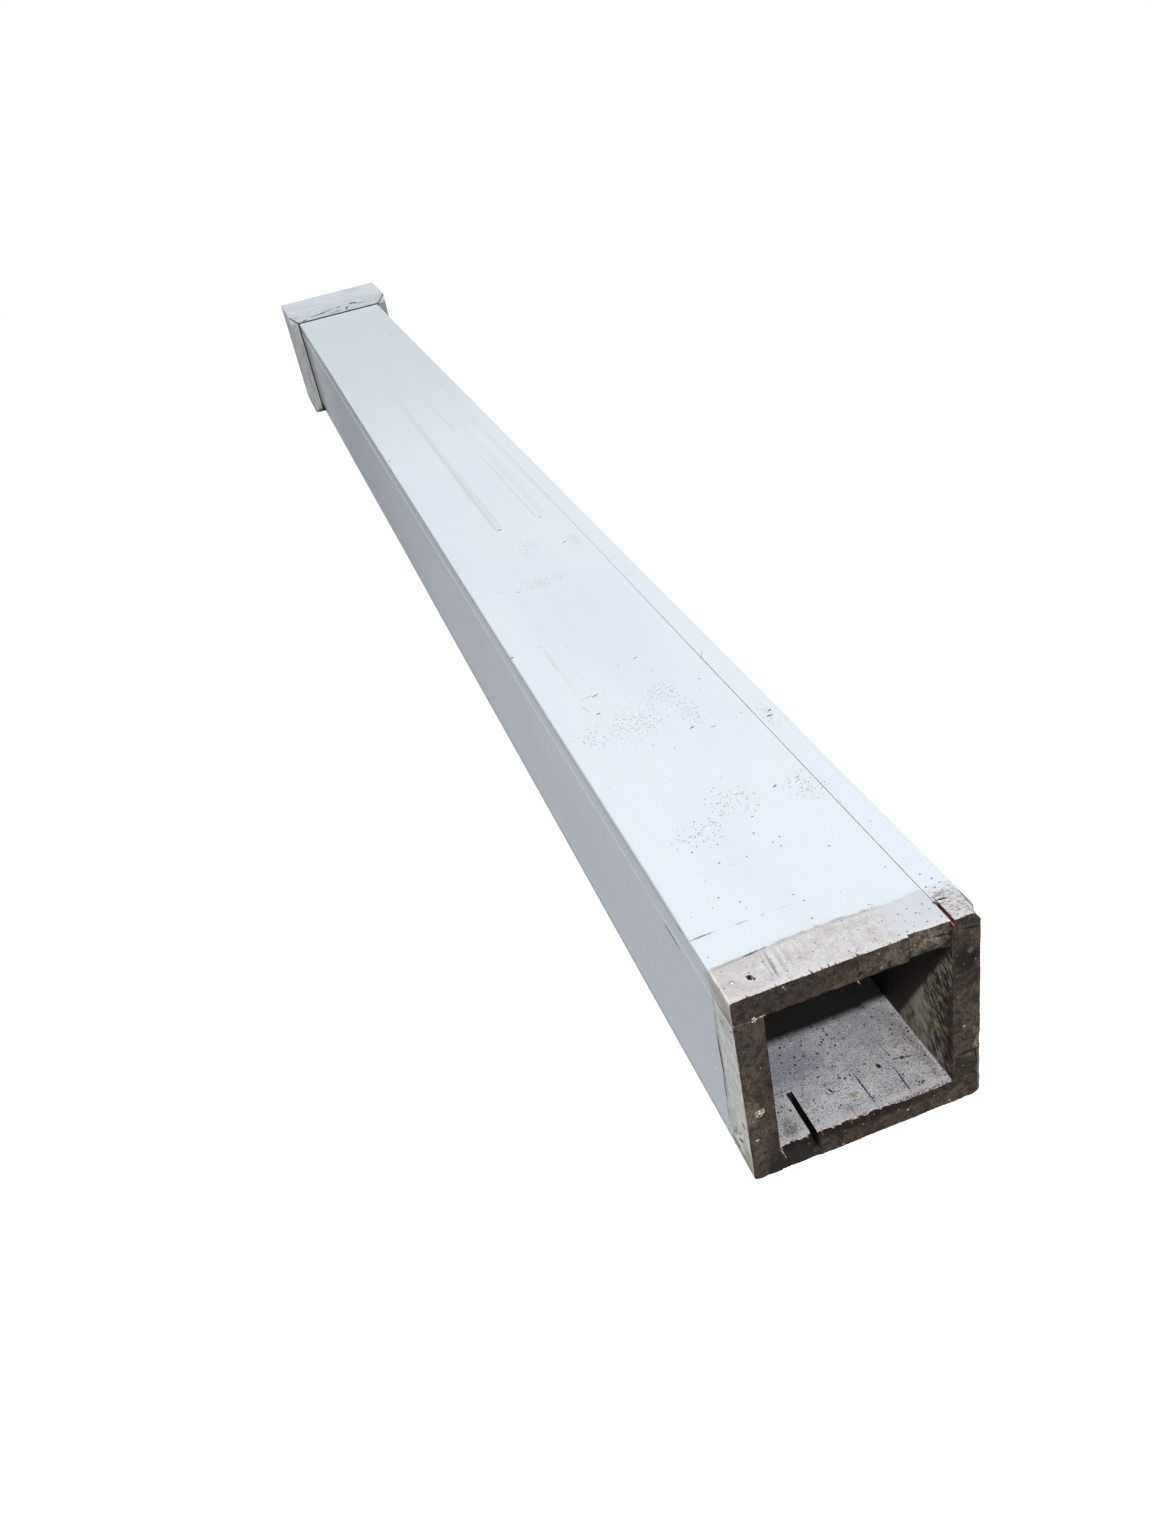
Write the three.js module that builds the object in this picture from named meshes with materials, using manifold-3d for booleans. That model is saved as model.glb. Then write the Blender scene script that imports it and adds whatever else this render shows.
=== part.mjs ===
// A weathered box column wrap, lying on the ground.
// Four boards lapped like a pinwheel make a hollow square box that closes around a structural post,
// and four mitred boards make a wider collar around its head. The foot is a rough cut, open end.
// Units are millimetres and +Z is up. The shaft's own frame has X across, Y from the foot to the head
// and Z up, with its corner at the foot's lower left. The box lies on the foot's lower edge and on the
// collar, so the whole frame is tilted by a small angle, and then centred over the origin.

import * as THREE from 'three';
import * as BufferGeometryUtils from 'three/addons/utils/BufferGeometryUtils.js';
import Module from 'manifold-3d';

const wasm = await Module();
wasm.setup();

// Driving dimensions
const SHAFT_LENGTH = 2200;
const BOX_WIDTH = 158.75;
const BOX_HEIGHT = 155.6;
const BOARD_THICKNESS = 19.05;
const JOINT_GAP = 0.3;
const ARRIS_RADIUS = 1.5;
const SEAM_BEVEL = 0.5;

const COLLAR_WIDTH = 139.7;
const COLLAR_THICKNESS = 16.8;
const MITRE_RELIEF = 0.25;

const NAIL_HEAD_RADIUS = 2.1;
const NAIL_HEAD_THICKNESS = 1.0;
const NAIL_SHANK_RADIUS = 1.2;
const NAIL_LENGTH = 45;
const NAIL_SUNK = 0.6;
const NAIL_CLEARANCE = 0.3;
const NAIL_PLACE = new THREE.Vector2(8, 14.5);
const EMPTY_HOLE_PLACE = new THREE.Vector2(18.9, 13.4);
const EMPTY_HOLE_RADIUS = 1.4;
const EMPTY_HOLE_DEPTH = 10;
const NAIL_SIDES = 12;

// How far a cutter reaches past the face that it opens
const OVERRUN = 2;

// Places that follow from the dimensions above
const COLLAR_START = SHAFT_LENGTH - COLLAR_WIDTH;
const TILT = Math.atan(COLLAR_THICKNESS / COLLAR_START);

// The angle of a quarter turn about the shaft's axis, which takes one side of the box to the next
const QUARTER = Math.PI / 2;

// Materials
const shaftPaint = new THREE.MeshStandardMaterial({ color: 0xdde4ec, roughness: 0.55, metalness: 0 });
const collarPaint = new THREE.MeshStandardMaterial({ color: 0xd0d4d6, roughness: 0.6, metalness: 0 });
const nailPaint = new THREE.MeshStandardMaterial({ color: 0xc9c6c0, roughness: 0.5, metalness: 0.4 });

// A prism with its outline in the two axes that follow the given one in the order X, Y, Z, X, Y
function prism(axis, outline, from, to) {
  const shape = new THREE.Shape(outline.map(([u, v]) => new THREE.Vector2(u, v)));
  const geometry = new THREE.ExtrudeGeometry(shape, { depth: to - from, bevelEnabled: false });
  geometry.translate(0, 0, from);
  const unit = { x: new THREE.Vector3(1, 0, 0), y: new THREE.Vector3(0, 1, 0), z: new THREE.Vector3(0, 0, 1) };
  const next = { x: 'y', y: 'z', z: 'x' };
  const along = new THREE.Matrix4().makeBasis(unit[next[axis]], unit[next[next[axis]]], unit[axis]);
  return geometry.applyMatrix4(along);
}

// A round hole or pin along Z
function roundBar(place, radius, low, high) {
  const geometry = new THREE.CylinderGeometry(radius, radius, high - low, NAIL_SIDES);
  geometry.rotateX(QUARTER);
  return geometry.translate(place.x, place.y, (low + high) / 2);
}

function toSolid(geometry) {
  const bare = geometry.clone();
  bare.deleteAttribute('normal');
  bare.deleteAttribute('uv');
  const merged = BufferGeometryUtils.mergeVertices(bare, 1e-4);
  return new wasm.Manifold(
    new wasm.Mesh({
      numProp: 3,
      vertProperties: new Float32Array(merged.attributes.position.array),
      triVerts: new Uint32Array(merged.index.array),
    })
  );
}

// The geometry with each cutter taken away from it
function cut(geometry, cutters) {
  let solid = toSolid(geometry);
  for (const cutter of cutters) {
    solid = solid.subtract(toSolid(cutter));
  }
  const mesh = solid.getMesh();
  const result = new THREE.BufferGeometry();
  result.setAttribute('position', new THREE.BufferAttribute(new Float32Array(mesh.vertProperties), 3));
  result.setIndex(new THREE.BufferAttribute(new Uint32Array(mesh.triVerts), 1));
  result.computeVertexNormals();
  return result;
}

// A quarter circle of a section, as points from one angle to the next
function arc(centreZ, centreX, radius, startAngle, steps = 4) {
  const points = [];
  for (let i = 0; i <= steps; i += 1) {
    const angle = startAngle + (QUARTER * i) / steps;
    points.push([centreZ + radius * Math.cos(angle), centreX + radius * Math.sin(angle)]);
  }
  return points;
}

// A shaft board in its own frame: X across the board from its exposed edge to the edge that butts
// against the next board, Y along it, and Z from its inner face to its outer face. The arris of the
// box is rounded, and the two corners at the seams have a fine bevel. A strip of the inner face is
// lower by the joint's gap where the board before it butts, so the rest of that face is the channel's.
function shaftBoard(width) {
  const t = BOARD_THICKNESS;
  const b = SEAM_BEVEL;
  const gap = JOINT_GAP;
  const section = [
    [gap, b],
    [gap + b, 0],
    ...arc(t - ARRIS_RADIUS, ARRIS_RADIUS, ARRIS_RADIUS, -QUARTER),
    [t, width - b],
    [t - b, width],
    [0, width],
    [0, t + gap],
    [gap, t + gap],
  ];
  return prism('y', section, 0, SHAFT_LENGTH);
}

// The joint between a shaft board and the collar: the outer face and the exposed edge are lower by
// the joint's gap from just before the collar to the head.
function collarSeat(width) {
  const low = BOARD_THICKNESS - JOINT_GAP;
  const high = BOARD_THICKNESS + OVERRUN;
  const seat = [
    [-OVERRUN, -OVERRUN],
    [-OVERRUN, JOINT_GAP],
    [low, JOINT_GAP],
    [low, width + OVERRUN],
    [high, width + OVERRUN],
    [high, -OVERRUN],
  ];
  return prism('y', seat, COLLAR_START - JOINT_GAP, SHAFT_LENGTH + OVERRUN);
}

// A collar board in the same kind of frame: both ends are cut to a mitre, and Z starts on the
// shaft's outer face.
function collarBoard(side) {
  const t = COLLAR_THICKNESS;
  const relief = MITRE_RELIEF;
  const reach = t - relief;
  const b = SEAM_BEVEL;
  const section = [
    [0, relief],
    [t - b, -reach + b],
    [t, -reach + 2 * b],
    [t, side + reach - 2 * b],
    [t - b, side + reach - b],
    [0, side - relief],
  ];
  return prism('y', section, COLLAR_START, SHAFT_LENGTH);
}

// Damage at the sawn foot, in each board's own frame
const footCuts = {
  // The saw was set in twice, so the cut has a step that runs out towards the corner.
  top(width) {
    const stepStart = 112;
    const stepDepth = 1.9;
    const step = [
      [stepStart, -OVERRUN],
      [stepStart, stepDepth],
      [width + 1, 0.3],
      [width + 1, -OVERRUN],
    ];
    const top = BOARD_THICKNESS + OVERRUN;
    const headTop = BOARD_THICKNESS - NAIL_SUNK;
    const headBottom = headTop - NAIL_HEAD_THICKNESS - NAIL_CLEARANCE;
    return [
      prism('z', step, -OVERRUN, top),
      roundBar(NAIL_PLACE, NAIL_SHANK_RADIUS + NAIL_CLEARANCE, -OVERRUN, top),
      roundBar(NAIL_PLACE, NAIL_HEAD_RADIUS + NAIL_CLEARANCE, headBottom, top),
      roundBar(EMPTY_HOLE_PLACE, EMPTY_HOLE_RADIUS, BOARD_THICKNESS - EMPTY_HOLE_DEPTH, top),
    ];
  },

  // A narrow slot beside the seam, a gap below it and a broken upper corner.
  right() {
    const slotWidth = 2;
    const slotDepth = 4;
    const slotLength = 18.3;
    const slot = [
      [-OVERRUN, -OVERRUN],
      [slotDepth, -OVERRUN],
      [slotDepth, slotLength],
      [-OVERRUN, slotLength],
    ];
    const split = [
      [slotDepth - 1, -OVERRUN],
      [17, -OVERRUN],
      [13, 7],
      [6, 9],
      [slotDepth - 1, 9],
    ];
    const splitDepth = 1.2;
    const t = BOARD_THICKNESS;
    const corner = [
      [t - 4.5, -OVERRUN],
      [t - 1.8, 3.2],
      [t, 7.5],
      [t + OVERRUN, 7.5],
      [t + OVERRUN, -OVERRUN],
    ];
    return [
      prism('z', slot, -OVERRUN, slotWidth),
      prism('z', split, -OVERRUN, splitDepth),
      prism('y', corner, -OVERRUN, 6),
    ];
  },

  // A deep saw slot that stops short of the underside, and the tongue beside it, which is shorter
  // and thinner.
  bottom(width) {
    const slotStart = 113.2;
    const slotWidth = 4.2;
    const slotLength = 38.5;
    const slotDepth = 15;
    const slotEnd = slotStart + slotWidth;
    const slot = [
      [slotStart, -OVERRUN],
      [slotEnd, -OVERRUN],
      [slotEnd - 0.4, slotLength],
      [slotStart + 0.6, slotLength],
    ];
    const tongueEnd = [
      [slotEnd - 1, -OVERRUN],
      [width + OVERRUN, -OVERRUN],
      [width + OVERRUN, 1],
      [slotEnd - 1, 1.6],
    ];
    const tonguePlan = [
      [slotStart + 1, -OVERRUN],
      [width + OVERRUN, -OVERRUN],
      [width + OVERRUN, slotLength],
      [slotStart + 1, slotLength],
    ];
    const top = BOARD_THICKNESS + OVERRUN;
    const tongueLoss = 1.2;
    return [
      prism('z', slot, -OVERRUN, slotDepth),
      prism('z', tongueEnd, -OVERRUN, top),
      prism('z', tonguePlan, BOARD_THICKNESS - tongueLoss, top),
    ];
  },

  // The lower corner is worn, and the nail through the top board ends in this board's upper edge.
  left(width) {
    const t = BOARD_THICKNESS;
    const wear = 2;
    const worn = [
      [-OVERRUN, t - wear - OVERRUN],
      [wear + OVERRUN, t + OVERRUN],
      [-OVERRUN, t + OVERRUN],
    ];
    const nailDepth = NAIL_LENGTH - BOARD_THICKNESS + NAIL_SUNK + NAIL_CLEARANCE;
    const nailHole = roundBar(
      new THREE.Vector2(0, NAIL_PLACE.y),
      NAIL_SHANK_RADIUS + NAIL_CLEARANCE,
      -nailDepth,
      OVERRUN
    );
    nailHole.rotateY(QUARTER);
    nailHole.translate(width, 0, t - NAIL_PLACE.x);
    return [prism('x', worn, -OVERRUN, 10), nailHole];
  },
};

// A finish nail with its head up, on the Z axis, with its tip tapered
function nail() {
  const head = NAIL_HEAD_RADIUS;
  const shank = NAIL_SHANK_RADIUS;
  const profile = [
    new THREE.Vector2(0, -NAIL_LENGTH),
    new THREE.Vector2(shank, -NAIL_LENGTH + 4),
    new THREE.Vector2(shank, -NAIL_HEAD_THICKNESS),
    new THREE.Vector2(head, -NAIL_HEAD_THICKNESS),
    new THREE.Vector2(head, -0.3),
    new THREE.Vector2(head - 0.4, 0),
    new THREE.Vector2(0, 0),
  ];
  const geometry = new THREE.LatheGeometry(profile, NAIL_SIDES);
  return geometry.rotateX(QUARTER);
}

const shaft = new THREE.Group();

// Each side of the box is the last one turned a quarter about the axis, with its inner face on the
// channel. The corner is where that side's exposed edge meets the channel's line.
const t = BOARD_THICKNESS;
const sides = [
  { name: 'top', span: BOX_WIDTH, x: 0, z: BOX_HEIGHT - t, outX: 0, outZ: BOX_HEIGHT },
  { name: 'right', span: BOX_HEIGHT, x: BOX_WIDTH - t, z: BOX_HEIGHT, outX: BOX_WIDTH, outZ: BOX_HEIGHT },
  { name: 'bottom', span: BOX_WIDTH, x: BOX_WIDTH, z: t, outX: BOX_WIDTH, outZ: 0 },
  { name: 'left', span: BOX_HEIGHT, x: t, z: 0, outX: 0, outZ: 0 },
];

sides.forEach((side, index) => {
  const turn = index * QUARTER;
  const width = side.span - BOARD_THICKNESS;
  const cutters = [...footCuts[side.name](width), collarSeat(width)];
  const board = new THREE.Mesh(cut(shaftBoard(width), cutters), shaftPaint);
  board.name = `shaft_board_${side.name}`;
  board.position.set(side.x, 0, side.z);
  board.rotation.y = turn;
  shaft.add(board);

  const collar = new THREE.Mesh(collarBoard(side.span), collarPaint);
  collar.name = `collar_board_${side.name}`;
  collar.position.set(side.outX, 0, side.outZ);
  collar.rotation.y = turn;
  shaft.add(collar);
});

const finishNail = new THREE.Mesh(nail(), nailPaint);
finishNail.name = 'finish_nail';
finishNail.position.set(NAIL_PLACE.x, NAIL_PLACE.y, BOX_HEIGHT - NAIL_SUNK);
shaft.add(finishNail);

// The shaft leans on the foot's lower edge and the collar's lower edge. Its lowest and highest Y are
// at the foot's upper edge and the collar's lower far edge.
const lowY = -BOX_HEIGHT * Math.sin(TILT);
const highY = SHAFT_LENGTH * Math.cos(TILT) + COLLAR_THICKNESS * Math.sin(TILT);
shaft.rotation.x = TILT;
shaft.position.set(-BOX_WIDTH / 2, -(lowY + highY) / 2, 0);

const columnWrap = new THREE.Group();
columnWrap.add(shaft);

export default columnWrap;
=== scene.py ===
# %% [markdown]
# A weathered box column wrap
# The real thing is a hollow square box of four painted boards, lapped like a pinwheel, with a mitred
# collar of four wider-set boards round its head. It lies on the ground with its sawn, open foot
# towards us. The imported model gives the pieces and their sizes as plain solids. This lesson builds the
# same boards again with worn edges, saw marks, cracks and paint, and lights them softly.
# We start with the frame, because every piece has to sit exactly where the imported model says.

import bpy
import numpy as np
from mathutils import Matrix


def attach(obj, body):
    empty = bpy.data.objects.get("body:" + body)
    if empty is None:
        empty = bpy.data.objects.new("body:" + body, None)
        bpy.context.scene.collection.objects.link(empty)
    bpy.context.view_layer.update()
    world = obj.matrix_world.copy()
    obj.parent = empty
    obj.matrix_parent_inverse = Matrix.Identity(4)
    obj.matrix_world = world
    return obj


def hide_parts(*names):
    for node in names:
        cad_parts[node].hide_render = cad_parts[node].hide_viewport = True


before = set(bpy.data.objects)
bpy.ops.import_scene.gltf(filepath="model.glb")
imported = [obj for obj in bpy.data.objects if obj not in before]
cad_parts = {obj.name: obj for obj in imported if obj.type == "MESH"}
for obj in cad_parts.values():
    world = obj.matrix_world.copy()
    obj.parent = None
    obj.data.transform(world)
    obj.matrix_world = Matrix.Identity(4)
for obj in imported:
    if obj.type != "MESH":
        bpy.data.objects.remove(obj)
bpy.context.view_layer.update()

# %% [markdown]
# The driving dimensions
# A lapped box is easiest to describe in its own frame: X across, Y from the foot to the head, Z up,
# with the corner at the foot's lower left, in millimetres. The real box leans by less than half a
# degree, because it lies on the foot's lower edge and on the collar. So we keep every shape and every
# mark in the shaft's frame and turn the finished points once, at the end.

# %% Sizes of the boards, in millimetres
SHAFT_LENGTH = 2200.0
BOX_WIDTH = 158.75
BOX_HEIGHT = 155.6
BOARD = 19.05
COLLAR_WIDTH = 139.7
COLLAR_THICKNESS = 16.8
COLLAR_START = SHAFT_LENGTH - COLLAR_WIDTH
SEAM_GAP = 0.2
TILT = np.arctan(COLLAR_THICKNESS / COLLAR_START)
MILLIMETRE = 0.001

LOW_Y = -BOX_HEIGHT * np.sin(TILT)
HIGH_Y = SHAFT_LENGTH * np.cos(TILT) + COLLAR_THICKNESS * np.sin(TILT)
SHAFT_ORIGIN = np.array([-BOX_WIDTH / 2, -(LOW_Y + HIGH_Y) / 2, 0.0])
TURN = np.array(
    [
        [1.0, 0.0, 0.0],
        [0.0, np.cos(TILT), -np.sin(TILT)],
        [0.0, np.sin(TILT), np.cos(TILT)],
    ]
)


def in_frame(points):
    """Shaft millimetres to the frame's metres: each point is turned by the tilt and moved to the origin."""
    return (points @ TURN.T + SHAFT_ORIGIN) * MILLIMETRE


print("tilt in degrees:", round(float(np.degrees(TILT)), 4))

# %% [markdown]
# The camera
# The photograph looks down the box from above its foot, from the left, with the camera rolled a
# little. Its place and directions come from the box's own long edges and from the size of the boards,
# so they are kept as a point and three directions in the shaft's frame.

# %% Camera
def link(obj):
    """Puts an object in the scene."""
    bpy.context.scene.collection.objects.link(obj)
    return obj


LENS_MM = 28.356
SENSOR_MM = 36.0
CAMERA_PLACE = np.array([-148.421, -461.989, 646.348])
CAMERA_RIGHT = np.array([0.93633523, -0.30368615, -0.17621308])
CAMERA_DOWN = np.array([-0.31097235, -0.48428585, -0.81777957])

right = TURN @ CAMERA_RIGHT
up = -(TURN @ CAMERA_DOWN)
back = np.cross(right, up)
place = in_frame(CAMERA_PLACE)
camera_data = bpy.data.cameras.new("photo_camera")
camera_data.lens = LENS_MM
camera_data.sensor_width = SENSOR_MM
camera_data.clip_end = 100.0
camera = link(bpy.data.objects.new("photo_camera", camera_data))
camera.matrix_world = Matrix(
    [[*axes, p] for axes, p in zip(np.array([right, up, back]).T, place)] + [[0, 0, 0, 1]]
)
bpy.context.scene.camera = camera
print("camera at", place.round(4).tolist())

# %% [markdown]
# Numbers that look like wear
# Old boards are never quite straight or smooth. A small value noise, worked out for a whole array of
# points at once, gives the waviness, the rough saw cut and the ragged edges. Hashing the lattice
# corners with fixed numbers keeps it the same on every run.

# %% Helpers for shapes
HASH_MIX = np.array([127.1, 311.7, 74.7])
HASH_SHIFT = 57.3
HASH_GAIN = 43758.5453


def hashed(cells, seed):
    """A number from 0 to 1 for each whole-number cell: the fraction of a large sine of its mixed sum."""
    value = np.sin(cells @ HASH_MIX + seed * HASH_SHIFT) * HASH_GAIN
    return value - np.floor(value)


def noise(points, size, seed=0.0):
    """Value noise from -1 to 1: the hashed corners of each cell of that size, blended smoothly."""
    scaled = points / np.asarray(size, float)
    cell = np.floor(scaled)
    t = scaled - cell
    t = t * t * (3 - 2 * t)
    total = np.zeros(points.shape[:-1])
    for corner in np.ndindex(2, 2, 2):
        offset = np.array(corner, float)
        weight = np.prod(np.where(offset > 0, t, 1 - t), axis=-1)
        total += weight * hashed(cell + offset, seed)
    return 2 * total - 1


def step(value, low, high):
    """A smooth rise from 0 at low to 1 at high."""
    t = np.clip((value - low) / (high - low), 0, 1)
    return t * t * (3 - 2 * t)


def bump(value, centre, half_width):
    """A smooth bell, 1 at its centre and 0 a half width away."""
    return 1 - step(np.abs(value - centre), 0, half_width)


print("hash of one cell:", hashed(np.array([[1.0, 2.0, 3.0]]), 0).round(3).tolist())

# %% [markdown]
# Boards as cells
# A sawn board with slots, steps and holes is a block with some of its cells missing. So the stock is
# cut into a lattice of cells with lines wherever an edge has to fall, the missing cells are marked,
# and the surface is every face between a full cell and an empty one. That is always closed, and
# its faces always point out. Moving its points afterwards rounds the arris and roughens the cut.

# %% The surface of a block of cells
FACE_CORNERS = {
    "+x": ((1, 0, 0), (1, 1, 0), (1, 1, 1), (1, 0, 1)),
    "-x": ((0, 0, 0), (0, 0, 1), (0, 1, 1), (0, 1, 0)),
    "+y": ((0, 1, 0), (0, 1, 1), (1, 1, 1), (1, 1, 0)),
    "-y": ((0, 0, 0), (1, 0, 0), (1, 0, 1), (0, 0, 1)),
    "+z": ((0, 0, 1), (1, 0, 1), (1, 1, 1), (0, 1, 1)),
    "-z": ((0, 0, 0), (0, 1, 0), (1, 1, 0), (1, 0, 0)),
}
SIDES = list(FACE_CORNERS)


def lines(start, end, spacing, keep=()):
    """Lattice lines from start to end: evenly spaced between each pair of the kept places."""
    stops = sorted({start, end, *[k for k in keep if start < k < end]})
    parts = [
        np.linspace(a, b, max(1, round((b - a) / spacing)), endpoint=False)
        for a, b in zip(stops[:-1], stops[1:])
    ]
    return np.append(np.concatenate(parts), end)


def growing(start, end, first, growth, keep=()):
    """Lattice lines whose spacing grows by a fixed share of the distance, drawn to the kept places."""
    count = int(np.ceil(np.log(1 + (end - start) * growth / first) / np.log(1 + growth)))
    t = np.arange(count + 1)
    grown = start + (end - start) * ((1 + growth) ** t - 1) / ((1 + growth) ** count - 1)
    for place in keep:
        grown[1 + np.argmin(np.abs(grown[1:-1] - place))] = place
    return grown


def cell_surface(xs, ys, zs, full):
    """Vertices, quads and each quad's side: every face between a full cell and an empty neighbour."""
    shape = (len(xs), len(ys), len(zs))
    padded = np.pad(full, 1)
    quads = []
    sides = []
    for number, side in enumerate(SIDES):
        axis = "xyz".index(side[1])
        neighbour = np.roll(padded, -1 if side[0] == "+" else 1, axis)[1:-1, 1:-1, 1:-1]
        cells = np.argwhere(full & ~neighbour)
        corners = cells[:, None, :] + np.array(FACE_CORNERS[side])
        quads.append(np.ravel_multi_index(np.moveaxis(corners, -1, 0), shape))
        sides.append(np.full(len(cells), number))
    used, faces = np.unique(np.concatenate(quads), return_inverse=True)
    i, j, k = np.unravel_index(used, shape)
    vertices = np.stack([xs[i], ys[j], zs[k]], axis=-1)
    return vertices, faces.reshape(-1, 4), np.concatenate(sides)


def put_mesh(name, vertices, faces, material_numbers=None, sharp_angle=35.0):
    """A mesh object of vertices in the frame's metres and faces, smooth except across sharp edges."""
    mesh = bpy.data.meshes.new(name)
    mesh.from_pydata(vertices.tolist(), [], faces)
    mesh.polygons.foreach_set("use_smooth", np.full(len(faces), True))
    if material_numbers is not None:
        mesh.polygons.foreach_set("material_index", material_numbers.astype(np.int32))
    mesh.set_sharp_from_angle(angle=np.radians(sharp_angle))
    mesh.update()
    return link(bpy.data.objects.new(name, mesh))


def add_value(obj, name, values):
    """Stores one number for each vertex, for a material to read."""
    attribute = obj.data.attributes.new(name, "FLOAT", "POINT")
    attribute.data.foreach_set("value", values.astype(np.float32))


ticks = np.arange(3.0)
block = cell_surface(ticks, ticks, ticks, np.ones((2, 2, 2), bool))
print("a block of 2 by 2 by 2 cells has", len(block[1]), "outer faces")

# %% [markdown]
# Where a board goes
# Each board is made in its own frame: X across from the edge that shows at the box's arris to the edge
# that butts the next board, Z from the inner face to the outer one. The four boards are the same stock
# turned by quarter turns, so one small table places them all.

# %% Board frames
OFFSETS = {
    "top": ((0, BOX_HEIGHT - BOARD), (0, BOX_HEIGHT), BOX_WIDTH),
    "right": ((BOX_WIDTH - BOARD, BOX_HEIGHT), (BOX_WIDTH, BOX_HEIGHT), BOX_HEIGHT),
    "bottom": ((BOX_WIDTH, BOARD), (BOX_WIDTH, 0), BOX_WIDTH),
    "left": ((BOARD, 0), (0, 0), BOX_HEIGHT),
}
QUARTERS = {"top": 0, "right": 1, "bottom": 2, "left": 3}


def to_shaft(local, side, corner):
    """Board points to the shaft's frame: quarter turns about Y that take Z to X and X to minus Z."""
    x, y, z = local.T
    turned = {0: (x, z), 1: (z, -x), 2: (-x, -z), 3: (-z, x)}[QUARTERS[side]]
    return np.stack([turned[0] + corner[0], y, turned[1] + corner[1]], axis=-1)


print("span of each side:", {side: values[2] for side, values in OFFSETS.items()})

# %% [markdown]
# What happened to the boards
# The foot was cut by hand: the top board's cut has a step, a saw strayed into two boards beside it,
# edges have chipped away and one corner has split. Each fault is a named place in its board's frame,
# and the lattice gets a line at each of its edges. The paint was brushed up to a line 31 to 34 mm from
# the foot, where a strip of trim once sat, and left a soft ridge there.

# %% Places of the faults, in each board's frame
STEP_AT = 112.0
STEP_DEPTH = 1.9
HOLE = (18.9, 13.4)
HOLE_RADIUS = 1.9
HOLE_DEPTH = 10.0
NAIL = (8.0, 14.5)
NAIL_HOLE = 1.8
NAIL_POCKET = 0.6
SHORT_SLOT = (4.0, 2.0, 18.3)
LONG_SLOT = (113.2, 117.4, 38.5, 15.0)
TOP_CHECKS = ((11.0, 1.5), (29.0, 2.5), (51.0, 4.0), (57.5, 1.5), (62.0, 3.0), (80.0, 2.0))
CHECK_HALF_WIDTH = 0.7
BITES = (80.0, 136.0)
RIDGE_HEIGHT = 0.3
RIDGE_HALF_WIDTH = 1.6
ARRIS = 1.6
SEAM_BEVEL = 0.18
SEAM_FILLED = 0.16
SEAM_FADES = (300, 700)
ROUNDING_REACH = 2.2


def band_edge(x):
    """How far from the foot the trim's line runs on the top face, for a place across it."""
    bow = 3.4 * np.sin(np.pi * np.clip((x - 8) / 125, 0, 1)) ** 1.5
    return 30.3 + bow + 2.2 * step(x, 108, 140)


def cut_cells(side, centres_x, centres_y, centres_z):
    """Which cells of a board are missing, from the middles of the cells."""
    x, y, z = np.meshgrid(centres_x, centres_y, centres_z, indexing="ij")
    gone = np.zeros(x.shape, bool)
    if side == "top":
        near = np.maximum(np.abs(x - HOLE[0]), np.abs(y - HOLE[1])) < HOLE_RADIUS
        gone |= near & (z > BOARD - HOLE_DEPTH)
        near = np.maximum(np.abs(x - NAIL[0]), np.abs(y - NAIL[1])) < NAIL_HOLE
        gone |= near & (z > BOARD - NAIL_POCKET)
    if side == "right":
        gone |= (x < SHORT_SLOT[0]) & (z < SHORT_SLOT[1]) & (y < SHORT_SLOT[2])
    if side == "bottom":
        gone |= (x > LONG_SLOT[0]) & (x < LONG_SLOT[1]) & (y < LONG_SLOT[2]) & (z < LONG_SLOT[3])
    return gone


def rounded_hole(points, place, radius):
    """Turns the square edge of a hole into a round one: points are drawn in, less and less outwards."""
    away = points[:, :2] - np.array(place)
    square = np.abs(away).max(axis=1)
    length = np.maximum(np.linalg.norm(away, axis=1), 1e-6)
    share = 1 - step(square, radius, ROUNDING_REACH * radius)
    scale = 1 + share * (square / length - 1)
    moved = points.copy()
    moved[:, :2] = np.array(place) + away * scale[:, None]
    return moved


def rounded_arris(points, radius):
    """Draws the square corner at x = 0 and z = BOARD onto a quarter circle of that radius."""
    x, _, z = points.T
    across = radius - x
    upward = z - (BOARD - radius)
    inside = (across > 0) & (upward > 0)
    length = np.maximum(np.hypot(across, upward), 1e-6)
    square = np.maximum(across, upward)
    scale = np.where(inside, square / length, 1.0)
    moved = points.copy()
    moved[:, 0] = np.where(inside, radius - across * scale, x)
    moved[:, 2] = np.where(inside, BOARD - radius + upward * scale, z)
    return moved


print("nail at", NAIL, "and a hole beside it at", HOLE)

# %% [markdown]
# Wear on each board
# The long faces get a slow waviness of a few tenths of a millimetre, and brush marks come later, from
# the material. At the foot the saw leaves the end uneven, the arris is softer, and thin checks open where
# the grain has split. All of it is a shift of the lattice points that fades away from the foot.

# %% Wear at the foot
CUT_REACH = 5.0
SAW_DEPTH = 0.12
SAW_PITCH = 2.9
SAW_SLANT = 0.35
LIP = 6.0
STEP_END_DEPTH = 0.3
CHECK_HEIGHT = 2.5
TONGUE_BACK = 0.4
TONGUE_LIFT = 0.3
BITE_DEPTH = 3.2
RIGHT_CORNER = 2.2
SPLIT_AT = 9


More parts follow.
